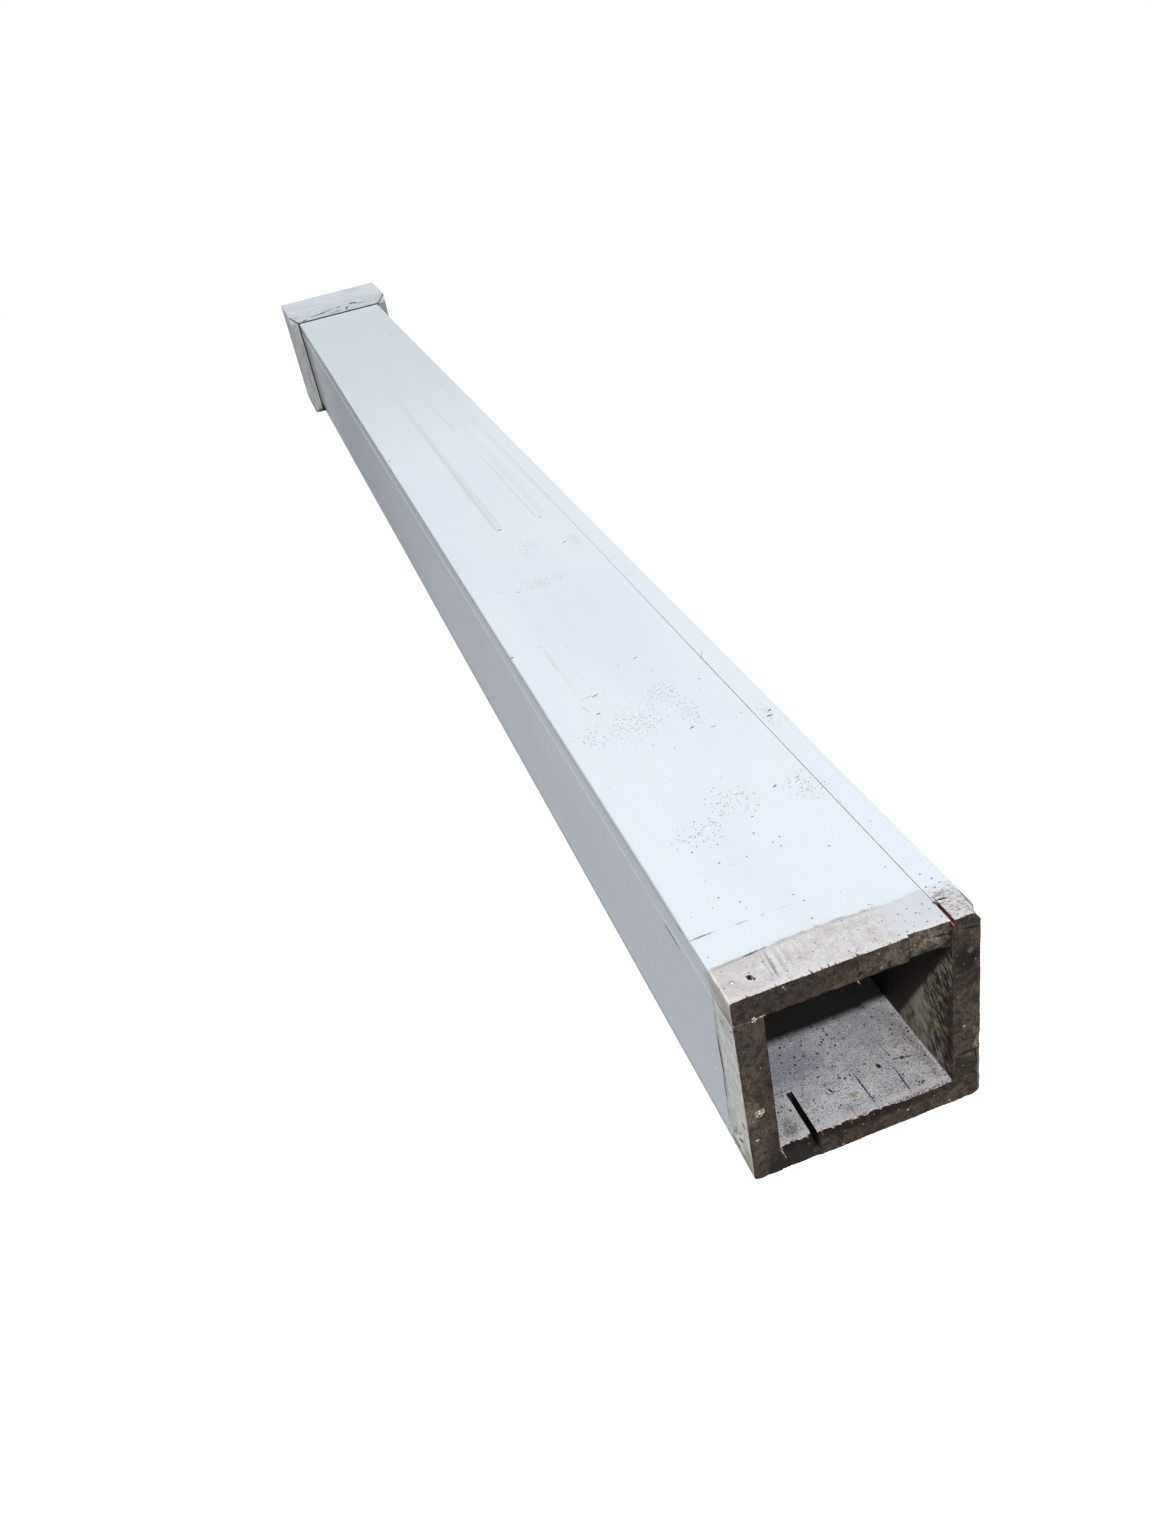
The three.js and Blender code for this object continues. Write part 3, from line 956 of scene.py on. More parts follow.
# Each mark is its place, its half sizes, its turn, its colour and its strength
TOP_MARKS = [
    (8, 58.8, 11, 0.9, 2, GREY, 0.95),
    (34, 58.6, 6, 0.7, 0, GREY, 0.6),
    (48, 58.8, 2.5, 0.7, 20, GREY, 0.4),
    (63, 58.8, 6, 0.7, 0, GREY, 0.25),
    (34.2, 18, 1.2, 16, -3, (146, 144, 142), 0.75),
    (31, 18, 0.7, 12, -3, (170, 167, 168), 0.5),
    (37.2, 18, 1.2, 14, -3, (234, 232, 235), 0.6),
    (39.6, 19, 0.9, 13, -3, (178, 174, 175), 0.6),
    (42.4, 20, 1.2, 12, -3, (234, 232, 235), 0.5),
    (45.2, 17, 0.8, 11, -3, (184, 180, 181), 0.5),
    (52, 20, 0.8, 11, -3, (188, 184, 184), 0.5),
    (14, 30.4, 8, 0.8, 2, (150, 150, 146), 0.6),
    (27, 31.2, 8, 1.0, 5, (92, 90, 86), 0.9),
    (35, 31.8, 4, 0.8, 5, (140, 138, 132), 0.7),
    (51, 2.0, 0.6, 3.2, 8, (70, 62, 56), 0.9),
    (57.5, 1.0, 0.6, 2.0, 0, (70, 62, 56), 0.9),
    (62, 1.5, 0.6, 2.6, 0, (70, 62, 56), 0.9),
    (66, 1.0, 0.8, 1.6, 0, (80, 72, 66), 0.8),
    (80, 1.5, 0.8, 2.4, 14, (60, 54, 50), 0.9),
    (29, 1.5, 0.5, 2.4, 0, (96, 88, 82), 0.8),
    (11, 1.0, 0.6, 2.0, 0, (96, 88, 82), 0.8),
    (38.5, 3.2, 2.2, 0.5, 10, (120, 116, 114), 0.6),
    # These two black marks are painted shade that widens the hole's dark mouth
    (20.6, 11.6, 2.0, 1.0, 60, (40, 36, 34), 0.95),
    (18.6, 14.8, 2.4, 1.6, 0, (40, 36, 34), 0.95),
    (7.8, 14.3, 4.2, 4.0, 0, (206, 194, 190), 0.6),
    (37, 336.5, 2.4, 0.9, 10, DARK, 0.95),
    (44, 365, 4.6, 0.9, 25, (88, 88, 92), 0.95),
    (38, 366, 6.0, 0.7, 8, GREY, 0.5),
    (32, 364, 2.2, 0.8, 0, DARK, 0.4),
    (30, 350, 0.7, 12, 12, GREY, 0.3),
    (92.8, 403.5, 3.2, 0.8, 30, DARK, 0.85),
    (92, 276, 3.4, 0.9, 20, DARK, 0.95),
    (106, 268, 3.4, 0.8, 10, GREY, 0.8),
    (148, 258, 3.6, 1.1, 0, DARK, 1.0),
    (151, 265, 2.6, 1.0, 30, DARK, 0.95),
    (112, 174.5, 2.8, 0.8, 25, DARK, 0.95),
    (141.6, 375, 0.7, 10, -28, GREY, 0.4),
    (102, 287, 2.5, 0.8, 40, GREY, 0.6),
    (130, 176, 3.0, 0.7, 30, DARK, 0.5),
    (67, 759.5, 5.0, 2.0, 6, (112, 114, 114), 0.8),
    (114, 764, 3.0, 1.6, 10, (112, 114, 114), 0.6),
    (116.6, 679, 4.0, 1.4, 30, DARK, 0.6),
    (126, 679, 8, 22, 0, (222, 214, 212), 0.4),
    (70, 600, 27, 12, 0, (214, 218, 224), 0.25),
    (42, 595, 2.4, 1.2, 0, DARK, 0.6),
    (1.8, 470, 2.0, 2.5, 0, DARK, 0.7),
    (4, 1089, 3.0, 3.0, 0, GREY, 0.7),
    (134, 1780, 2.4, 5.0, 0, GREY, 0.6),
    (30, 442, 2.5, 32, 0, (208, 214, 222), 0.35),
    (152, 14, 9, 15, 0, (208, 198, 190), 0.4),
    (146, 24, 7, 2.0, 10, (140, 126, 116), 0.6),
    (157.5, 12, 1.6, 12, 0, (120, 108, 98), 0.6),
    (145, 19.2, 5.4, 0.9, -10, (40, 33, 31), 1.0),
    (139.6, 18.6, 1.6, 1.4, 0, (36, 28, 28), 0.95),
    # A grey line along the far right arris is painted shade where the rounded edge turns away from the light
    (158.2, 420, 1.0, 480, 0, (150, 146, 142), 0.35),
]
TOP_DOTS = [
    (26.8, 144), (39, 140), (34, 136), (51.7, 135), (77, 134), (45, 117), (63, 114), (83.7, 119),
    (90, 122), (86.7, 113), (112.7, 97), (31, 86), (41, 76), (72, 66), (75, 58), (72, 41.6),
    (146, 45), (113.6, 4.8), (133, 21), (116.6, 20), (126, 16), (147, 30), (152, 24), (58, 270),
    (70.6, 258), (125, 340), (98, 376), (76.6, 400), (48, 166), (58, 164), (84, 151), (149, 580),
    (28, 605), (28, 474), (147, 20), (152, 33), (145, 26), (155, 28), (150, 38), (143, 33),
]
CLUSTERS = [
    (90, 336, 24, 30),
    (56, 306, 34, 36),
    (22, 306, 18, 26),
    (100, 300, 16, 30),
    (80, 175, 28, 24),
    (48, 152, 24, 20),
    (148, 262, 8, 30),
    (130, 165, 18, 26),
    (68, 600, 34, 20),
    (80, 692, 18, 34),
]
LEFT_MARKS = [
    (32, 81, 2.2, 30, -2, (30, 33, 35), 1.0),
    (33.5, 50, 1.5, 18, 0, (66, 70, 73), 1.0),
    (35, 27, 1.3, 12, 0, (80, 82, 84), 0.9),
    (31.6, 112, 0.9, 12, 2, (104, 106, 106), 0.8),
    (19.3, 123.4, 4.2, 2.6, -20, (44, 44, 42), 1.0),
    (15.5, 128, 3.0, 1.0, -50, (84, 82, 78), 0.8),
    (7, 119, 3.0, 1.2, 10, (112, 110, 106), 0.7),
    (4, 130, 4.0, 1.0, -40, (60, 54, 48), 0.8),
    (7.9, 44, 3.2, 2.6, 0, (74, 78, 80), 0.9),
    (4.7, 92, 1.5, 1.5, 0, (104, 106, 106), 0.6),
    (10.7, 65, 1.4, 1.0, 0, (112, 112, 110), 0.6),
    (24.3, 38.4, 1.6, 1.3, 0, (70, 70, 68), 0.8),
    (27, 17.7, 2.2, 2.6, 0, (82, 68, 54), 0.9),
    (16.4, 20.6, 7.4, 1.5, -37, (40, 33, 27), 1.0),
    (16.8, 27, 3.4, 1.3, -48, (60, 54, 47), 0.95),
    (9, 30, 0.8, 9, 8, (84, 80, 74), 0.7),
    (22, 9, 3.0, 1.2, -30, (58, 48, 38), 0.9),
    (27, 7, 9.0, 3.4, 0, (92, 78, 62), 0.9),
    (12, 5, 12.0, 6, 0, (112, 98, 82), 0.75),
    (35.5, 14, 2.6, 0.9, -60, (74, 66, 56), 0.8),
    (7, 14, 10, 12, 0, (132, 120, 102), 0.6),
    (24, 22, 3.0, 7, 20, (96, 88, 76), 0.6),
    (97, 129, 20, 2.0, 2, (96, 100, 108), 0.85),
    (76, 151.5, 7, 2.4, 3, (118, 122, 130), 0.7),
    (50, 54, 6.0, 0.5, -40, (205, 210, 216), 0.8),
    (46.5, 58, 1.0, 1.6, 0, (214, 218, 224), 0.8),
    (14, 136.6, 17, 1.2, 0, (60, 56, 52), 0.95),
    (10, 140, 9, 2.5, 20, (120, 114, 108), 0.5),
    (14, 146, 30, 11, 0, (144, 140, 137), 0.85),
    (6, 140, 10, 4, 0, (120, 114, 108), 0.7),
    (14, 151.5, 20, 2.4, 0, (158, 152, 149), 0.7),
    (15, 124, 16, 10, 0, (157, 157, 154), 0.6),
]
print(len(TOP_MARKS), "marks and", len(TOP_DOTS), "dots on the top,", len(LEFT_MARKS), "on the left")

# %% Paint
# Each run is its start across and along, its length, half width, drift and strength
TRAILS = [
    (63.5, 763, 760, 2.2, 0.004, 0.34),
    (70.5, 763, 300, 1.6, 0.0, 0.25),
    (66, 760, 900, 6.0, 0.0, 0.22),
    (111, 768, 520, 2.0, -0.006, 0.3),
    (120, 772, 620, 6.0, -0.004, 0.16),
    (137, 800, 620, 3.0, -0.004, 0.2),
    (104, 1140, 360, 3.0, -0.010, 0.2),
    (31, 372, 170, 3.0, 0.0, 0.12),
    (44, 372, 110, 2.4, -0.03, 0.10),
]


def band_paint(place, x, on_left):
    """The dirty colour below the trim's line: warm grey on top, paler to the right, green grey beside."""
    cloud = grain(place, (9, 9, 9), detail=5.0, roughness=0.62)
    powder = grain(place, (1.2, 1.6, 1.2), (7, 0, 0), detail=4.0, roughness=0.7)
    grit = grain(place, (1.5, 2.4, 1.5), (11, 0, 0), detail=5.0, roughness=0.75, turn=(0, 0, 35))
    at_corner = ramp(x, 139, 142)
    upper = layered(
        two_tones(cloud, 0.36, 0.62, (203, 199, 200), (222, 220, 224), TOP_LIGHT),
        TOP_LIGHT,
        (ramp(powder, 0.52, 0.68, 0.0, 0.7), (180, 174, 172)),
        (ramp(powder, 0.44, 0.32, 0.0, 0.7), (240, 238, 242)),
        (times(ramp(x, 26, 4), ramp(cloud, 0.3, 0.6), 0.55), (208, 200, 194)),
        (times(ramp(x, 100, 116), 0.8), (219, 225, 232)),
        (times(ramp(grit, 0.47, 0.56), at_corner, 0.75), (132, 116, 104)),
        (times(ramp(grit, 0.58, 0.63), at_corner, 0.9), (52, 44, 40)),
    )
    beside = two_tones(cloud, 0.34, 0.62, (164, 166, 161), (187, 191, 188), LEFT_LIGHT)
    beside = layered(beside, LEFT_LIGHT, (ramp(powder, 0.54, 0.68, 0.0, 0.4), (130, 128, 120)))
    return over(on_left, upper, beside), cloud, powder


def clean_paint(place, y, z, on_left):
    """The paint itself: white above and grey beside with brush streaks; the top greys towards the head, and
    the left face darkens towards the head by painted shade.
    """
    slow = grain(place, (110, 420, 110), detail=2.0)
    upper = two_tones(slow, 0.35, 0.7, (233, 241, 250), (228, 236, 246), TOP_LIGHT)
    upper = layered(upper, TOP_LIGHT, (ramp(y, 950, 1600), (222, 232, 238)))
    # Painted shade on the left face: darker towards the head, paler again from 1650 to 1850 mm, and a
    # painted shadow by the collar from 1900 mm
    beside = layered(
        two_tones(slow, 0.35, 0.7, (173, 180, 186), (168, 175, 181), LEFT_LIGHT),
        LEFT_LIGHT,
        (ramp(y, 300, 1700), (147, 153, 161)),
        (ramp(y, 1650, 1850), (160, 165, 169)),
        (ramp(y, 1900, 2050), (118, 120, 124)),
    )
    streak = ramp(grain(place, (4, 420, 4), (3, 0, 0)), 0.5, 0.85, 0.0, 0.10)
    colour = layered(over(on_left, upper, beside), TOP_LIGHT, (streak, (196, 204, 210)))
    # arris_shade is painted shade under the top arris; the pale line at the seam is caulk with a painted
    # highlight where its slope faces up
    arris_shade = times(on_left, ramp(z, 146, 152), ramp(y, 40, 120), 0.3)
    caulk_and_highlight = times(on_left, ramp(z, 132.4, 133.6), ramp(z, 138.4, 137.2), 0.7)
    return layered(colour, LEFT_LIGHT, (arris_shade, (108, 114, 123)), (caulk_and_highlight, (200, 205, 212)))


def band_over(clean, place, on_left):
    """Lays the trim's band over the clean paint: a ragged edge, a pale rim at the cut and the ridge."""
    x, y, z = apart(place)
    dirt, cloud, powder = band_paint(place, x, on_left)
    band = put(place.id_data, "ShaderNodeAttribute", attribute_name="from_band").outputs["Fac"]
    ragged = maths("MULTIPLY_ADD", grain(place, (5, 5, 5)), 3.0, band)
    to_corner = over(ramp(x, 138, 142), WHITE, maths("MULTIPLY_ADD", y, -0.055, 1.9))
    to_corner = add("ShaderNodeClamp", {0: to_corner}).outputs[0]
    colour = over(times(ramp(ragged, 2.3, 0.9), to_corner), clean, dirt)
    rim = times(ramp(y, 4.5, 2.0), ramp(z, BOX_HEIGHT - 3, BOX_HEIGHT - 1.5), 0.55)
    colour = layered(colour, TOP_LIGHT, (rim, (236, 232, 232)))
    near_ridge = ramp(maths("ABSOLUTE", maths("ADD", band, 0.6)), 2.6, 0.4)
    ridge = times(near_ridge, ramp(cloud, 0.42, 0.54), ramp(x, 96, 118, 0.6, 0.12))
    ridge_tone = over(on_left, shade((166, 170, 164), TOP_LIGHT), shade((110, 112, 112), LEFT_LIGHT))
    return over(ridge, colour, ridge_tone), cloud, powder


print(len(TRAILS), "runs on the top board")

# %% Details of the paint
TOP_REACH = {"top": (-10, 142), "right": (138, 170)}
LEFT_REACH = {"top": (134, 170), "left": (-10, 139)}


def facing_up(z):
    """The part of a board's material that lies on the upper face."""
    return ramp(z, BOX_HEIGHT - 3, BOX_HEIGHT - 2)


def clusters(place):
    """Where specks crowd together: the strongest of the soft balls in the list."""
    patch = 0.0
    for where in CLUSTERS:
        patch = maths("MAXIMUM", patch, soft_mark(place, *on_face("top", *where), core=0.1)["Mask"])
    return patch


def top_details(colour, side, place, rough_place, upward):
    """Specks in clusters, pale flecks, the listed marks and dots and, on the top board, the runs."""
    patch = clusters(place)
    fine = specks(place, 1.5, maths("MULTIPLY_ADD", patch, 0.5, 0.003), 0.45)
    pale = specks(shaken(place, 3.0, 4.0), 3.1, maths("MULTIPLY", patch, 0.3), 0.4)
    fine_layer = (times(fine, upward, 0.75), (116, 118, 124))
    colour = layered(colour, TOP_LIGHT, fine_layer, (times(pale, upward, 0.7), (244, 250, 255)))
    start, end = TOP_REACH[side]
    marks = [mark for mark in TOP_MARKS if start < mark[0] < end]
    colour = marked(colour, rough_place, "top", TOP_LIGHT, marks)
    dots = [dot for dot in TOP_DOTS if start < dot[0] < end]
    colour = dotted(colour, rough_place, "top", TOP_LIGHT, 0.85, (96, 98, 104), 0.9, dots)
    if side == "top":
        rough_x, rough_y, _ = apart(rough_place)
        for *run, strength in TRAILS:
            mask = times(trail(rough_x, rough_y, *run), upward, strength)
            colour = layered(colour, TOP_LIGHT, (mask, (196, 206, 208)))
    return colour


def left_details(colour, side, rough_place, low_dirt):
    """The listed marks on the left face, and powdery dirt along its lower edge."""
    start, end = LEFT_REACH[side]
    marks = [mark for mark in LEFT_MARKS if start < mark[1] < end]
    colour = marked(colour, rough_place, "left", LEFT_LIGHT, marks)
    return layered(colour, LEFT_LIGHT, (low_dirt, (122, 116, 104)))


def paint_material(side):
    """Painted wood of one board: clean paint, the trim's band, its own marks and specks."""
    material, tree = new_material(f"weathered_white_paint_{side}")
    place = shaft_place(tree)
    x, y, z = apart(place)
    rough_place = shaken(place, 1.6, 1.3)
    on_left = ramp(x, 1.6, 0.6)
    colour, cloud, powder = band_over(clean_paint(place, y, z, on_left), place, on_left)
    if side in TOP_REACH:
        colour = top_details(colour, side, place, rough_place, facing_up(z))
    if side in LEFT_REACH:
        low_dirt = times(on_left, ramp(z, 10, 1), ramp(powder, 0.42, 0.58), 0.7)
        colour = left_details(colour, side, rough_place, low_dirt)
    if side == "left":
        pits = times(specks(laid_flat(place, SIDE_TURN), 2.2, ramp(y, 42, 4, 0.0, 0.05), 0.34), 0.75)
        colour = layered(colour, LEFT_LIGHT, (pits, (96, 90, 86)))
    else:
        pits = times(specks(place, 2.2, ramp(y, 42, 4, 0.0, 0.15), 0.34), facing_up(z), 0.75)
        colour = layered(colour, TOP_LIGHT, (pits, (96, 90, 86)))
    chipped = times(ramp(y, 2.6, 0.4), ramp(powder, 0.55, 0.62), 0.85)
    colour = layered(colour, TOP_LIGHT, (chipped, (92, 82, 72)))
    brush = grain(place, (1.4, 40, 1.4), detail=2.0)
    height = maths("ADD", times(brush, 0.7), times(powder, 0.3))
    finish_material(colour, ramp(cloud, 0.3, 0.7, 0.48, 0.62), height, 0.2)
    return material


print("where the boards take the top's marks:", TOP_REACH, "and the left's:", LEFT_REACH)

# %% [markdown]
# Sawn ends
# The foot's cut is bare wood gone dark with damp: a rough, blotchy brown with paler fibres, darker
# where it has split. Each board took up water differently, so broad patches are laid over one base.
# The roughness is a node group, which multiplies that tone: hollows take a small share of it, and
# raised fibres more than all of it.

# %% Marks in the sawn end
END_LIGHT = 1.16
END_DARK = (60, 51, 43)
END_PALE = (82, 71, 60)
WOOD_DEEP = (0.22, 0.20, 0.19, 1.0)
WOOD_PALE = (2.3, 2.2, 2.1, 1.0)
WOOD_GAIN = 1.08
CRACK = (26, 22, 19)
INK_BLACK = (12, 10, 9)

END_PATCHES = [
    (30, 146, 50, 16, 0, (60, 52, 47), 0.95),
    (75, 151, 14, 5, 0, (58, 49, 43), 0.8),
    (88, 143, 22, 9, 0, (84, 74, 64), 0.9),
    (104, 147, 11, 12, 0, (102, 92, 81), 0.9),
    (124, 147, 17, 14, 0, (116, 108, 97), 0.95),
    (9, 118, 14, 18, 0, (70, 65, 59), 0.9),
    (5, 92, 7, 18, 0, (88, 78, 67), 0.9),
    (4, 62, 7, 20, 0, (108, 98, 82), 0.9),
    (5, 30, 7, 18, 0, (88, 78, 67), 0.9),
    (15, 90, 5, 20, 0, (60, 51, 44), 0.9),
    (15, 60, 5, 20, 0, (74, 63, 53), 0.9),
    (15, 28, 6, 16, 0, (58, 50, 42), 0.9),
    (14, 9, 9, 10, 0, (50, 43, 37), 0.9),
    (149, 121, 12, 17, 0, (28, 23, 20), 0.98),
    (148, 103, 10, 7, 0, (54, 47, 40), 0.9),
    (149, 80, 13, 18, 0, (76, 66, 57), 0.9),
    (156, 62, 4, 9, 0, (96, 87, 78), 0.9),
    (147, 52, 9, 9, 0, (72, 62, 58), 0.9),
    (148, 28, 13, 14, 0, (52, 44, 36), 0.95),
    (157, 48, 3.4, 8.5, 0, (116, 110, 92), 0.9),
    (95, 15, 58, 5, 0, (56, 45, 38), 0.9),
    (95, 5, 56, 7, 0, (70, 58, 49), 0.9),
]
END_CRACKS = [
    (112, 146, 0.9, 12, 0, (40, 34, 29), 1.0),
    (99, 140, 1.1, 4.5, 0, CRACK, 1.0),
    (133, 147.2, 7.0, 1.5, -8, CRACK, 1.0),
    (152, 145.4, 7.4, 1.3, -12, CRACK, 1.0),
    (139.6, 145.5, 2.2, 5.4, 20, INK_BLACK, 1.0),
    (137.6, 140.0, 2.0, 5.0, -40, INK_BLACK, 1.0),
    (149.5, 41.4, 10.5, 1.5, 3, INK_BLACK, 1.0),
    (143, 38.4, 3.6, 1.2, -20, CRACK, 0.9),
    (156, 37, 1.2, 6.0, 10, CRACK, 0.85),
    (80, 141.5, 3.6, 1.7, 35, INK_BLACK, 1.0),
    (18.5, 12, 0.8, 10, -25, (34, 27, 23), 0.8),
    (46.2, 9, 0.8, 10, 3, (46, 44, 34), 0.8),
    (43, 8, 0.5, 9, 3, (60, 58, 46), 0.6),
    (139.4, 78, 0.9, 66, 0, (18, 15, 13), 0.95),
    (139.7, 152, 0.8, 5, 8, (20, 17, 15), 0.95),
    (19.0, 78, 0.6, 60, 0, (40, 34, 30), 0.7),
    (152, 127.4, 2.6, 2.9, 0, (112, 104, 100), 0.8),
    (152, 127.4, 1.2, 1.4, 0, (70, 62, 58), 0.8),
    (13.6, 128, 4.0, 10, 0, (92, 80, 76), 0.5),
    (4, 146, 5, 1.2, 10, (84, 80, 74), 0.4),
    (10, 143, 0.8, 5, -30, (96, 92, 86), 0.4),
    (64, 3, 4, 2.4, 0, (60, 34, 28), 0.6),
]
END_DOTS = [(33, 153), (116.4, 146), (94, 140), (61, 1.8), (107, 9.9), (137, 3), (0.8, 137)]


def rough_wood_group():
    """Group: a Tone multiplied by Deep in hollows and by Pale on fibres; puts out Colour and Height."""
    inputs = {"Position": "Vector", "Tone": "Color", "Deep": "Color", "Pale": "Color"}
    group, given = new_group("rough_wood", inputs, {"Colour": "Color", "Height": "Float"})
    place = given["Position"]
    mottle = grain(place, (6.0, 10, 6.5), (9, 0, 0), detail=6.0, roughness=0.68)
    fibres = grain(place, (1.5, 14, 2.6), (5, 0, 0), detail=5.0, roughness=0.7)
    grit = grain(place, (0.7, 3, 0.7), (3, 0, 0), detail=3.0, roughness=0.7)
    colour = given["Tone"]
    for pattern, low, high, strength, share in (
        (mottle, 0.49, 0.60, 0.70, "Deep"),
        (mottle, 0.44, 0.34, 0.35, "Pale"),
        (fibres, 0.50, 0.60, 0.65, "Deep"),
        (fibres, 0.44, 0.36, 0.50, "Pale"),
        (grit, 0.52, 0.60, 0.60, "Deep"),
        (grit, 0.44, 0.36, 0.50, "Pale"),
    ):
        colour = over(ramp(pattern, low, high, 0.0, strength), colour, given[share], "MULTIPLY")
    height = maths("MULTIPLY_ADD", mottle, -1.0, maths("MULTIPLY_ADD", grit, 0.4, fibres))
    put(group, "NodeGroupOutput", {"Colour": colour, "Height": height})
    return group


ROUGH_WOOD = rough_wood_group()


def roughened(place, tone):
    """Places the wood group over a tone; gives its colour and height."""
    values = {"Position": place, "Tone": tone, "Deep": WOOD_DEEP, "Pale": WOOD_PALE}
    made = add("ShaderNodeGroup", values, node_tree=ROUGH_WOOD).outputs
    return made["Colour"], made["Height"]


def broad_tone(place, dark, light, light_on_it):
    """A slow change between two tones of wood."""
    return two_tones(grain(place, (11, 14, 16)), 0.38, 0.62, dark, light, light_on_it)


print(len(END_PATCHES), "patches and", len(END_CRACKS), "cracks in the sawn end")

# %% Sawn end
def sawn_end_material():
    """The foot's cut: bare wood with damp patches, saw lines, cracks and spots of putty."""
    material, tree = new_material("sawn_end_wood")
    place = shaft_place(tree)
    rough_place = shaken(place, 1.6, 1.8)
    bare_light = END_LIGHT / WOOD_GAIN
    tone = broad_tone(place, END_DARK, END_PALE, bare_light)
    tone = marked(tone, shaken(place, 6.0, 8.0), "end", bare_light, END_PATCHES)
    colour, height = roughened(place, tone)
    x, _, z = apart(rough_place)
    slanted = ramp(maths("MULTIPLY_ADD", z, -0.62, x), 7.0, 9.0)
    tongue = times(ramp(x, 48.0, 44.5), slanted, ramp(z, 21, 20), 0.95)
    crumbs = times(
        ramp(z, 11.0, 16.6),
        ramp(z, 22, 20.5),
        ramp(x, 20, 24),
        ramp(x, 140, 96, 0.35, 1.0),
        ramp(grain(place, (3.0, 6, 2.6), (1, 0, 0), detail=4.0), 0.34, 0.44),
        0.95,
    )
    colour = layered(colour, END_LIGHT, (tongue, (34, 29, 26)), (crumbs, (28, 15, 13)))
    colour = marked(colour, rough_place, "end", END_LIGHT, END_CRACKS)
    colour = dotted(colour, rough_place, "end", END_LIGHT, 1.1, (176, 168, 158), 0.8, END_DOTS)
    white_grit = times(specks(laid_flat(rough_place, END_TURN), 4.2, 0.16, 0.2), 0.6)
    strip = times(ramp(x, 156.8, 157.8), ramp(z, 42, 39), ramp(z, 2, 4), 0.6)
    colour = layered(colour, END_LIGHT, (white_grit, (170, 162, 150)), (strip, (140, 130, 120)))
    finish_material(colour, 0.9, height, 0.6)
    return material


print("light on the bare wood of the cut:", round(END_LIGHT / WOOD_GAIN, 3))

# %% [markdown]
# Inside the channel
# The lower board still has its old pale paint, speckled all over with black mould, darkened further in
# and bluish beside the left wall by painted shade. The side wall is stained brown and black by damp
# running in from the foot; above a slanting line it is painted near black as the top board's shadow,
# and beyond about 88 mm both faces take a plain tone, a dark painted shade on the wall. Both are one
# material: which face is shaded follows from the place.

# %% Marks in the channel
FLOOR_LIGHT = 1.12
WALL_LIGHT = 0.35
INK = (36, 33, 34)
RUST = (96, 70, 60)

FLOOR_STAINS_AND_SHADE = [
    # The first, bluish grey patch is painted shade beside the left wall
    (47, 60, 32, 27, 0, (124, 128, 144), 0.9),
    (62, 82, 34, 10, 0, (142, 142, 146), 0.6),
    (78, 22, 36, 13, 0, (186, 186, 190), 0.8),
    (104, 34, 22, 18, 0, (164, 164, 167), 0.6),
    (128, 20, 12, 18, 0, (170, 166, 165), 0.5),
    (30, 13, 8, 9, 0, (96, 94, 91), 0.75),
    (30, 30, 10, 10, 0, (158, 162, 162), 0.6),
    (50, 34, 7, 9, 0, (150, 156, 158), 0.5),
    (131, 52, 12, 34, 0, (138, 127, 124), 0.6),
    (112, 62, 14, 24, 0, (142, 138, 142), 0.5),
    (134.5, 34, 5.0, 50, 0, (112, 103, 96), 0.6),
]
FLOOR_MARKS = [
    (88, 20, 0.75, 21, 1.5, INK, 0.95),
    (112.8, 15, 0.75, 16, -1, INK, 0.95),
    (73, 7, 0.6, 7, 0, (84, 82, 84), 0.8),
    (115, 44, 0.6, 16, 4, (92, 86, 86), 0.7),
    (88, 56, 0.6, 20, 2, (112, 108, 110), 0.5),
    (105, 32.5, 2.0, 3.2, 25, (16, 14, 14), 1.0),
    (68, 28, 1.2, 3.0, 20, INK, 0.95),
    (65, 27, 0.7, 2.4, 20, INK, 0.8),
    (122, 32, 2.4, 1.8, 0, INK, 0.95),
    (126, 31, 5.0, 0.9, -8, (64, 58, 58), 0.85),
    (118, 33, 3.0, 0.8, -8, (64, 58, 58), 0.8),
    (78.5, 18.7, 4.2, 3.2, 0, (142, 130, 112), 0.85),
    (77, 18, 1.8, 1.6, 0, (176, 168, 150), 0.9),
    (82, 19.6, 1.6, 1.2, 0, (120, 110, 94), 0.8),
    (40, 41, 22, 0.9, 2, (112, 115, 120), 0.6),
]
FLOOR_DOTS = [
    (122.5, 72.5), (135.6, 68), (137, 50), (136, 27), (57.5, 57.7), (88.5, 77.7), (38, 25),
    (82, 67.5), (80, 66), (84, 69), (122.5, 8), (124, 9), (121, 9.6), (64, 78), (71, 84), (52, 70),
    (60, 64), (66, 62), (55, 76), (75, 60), (98, 38), (78, 35), (81, 33),
]
WALL_MARKS = [
    (38, 54, 18, 30, -10, (122, 119, 110), 0.8),
    (2, 62, 14, 66, 0, (32, 25, 22), 0.85),
    (14, 40, 8, 20, 45, (50, 40, 34), 0.6),
    (4, 116, 7, 16, 0, (92, 84, 78), 0.6),
    (24, 84, 7, 14, 30, (96, 88, 74), 0.5),
]


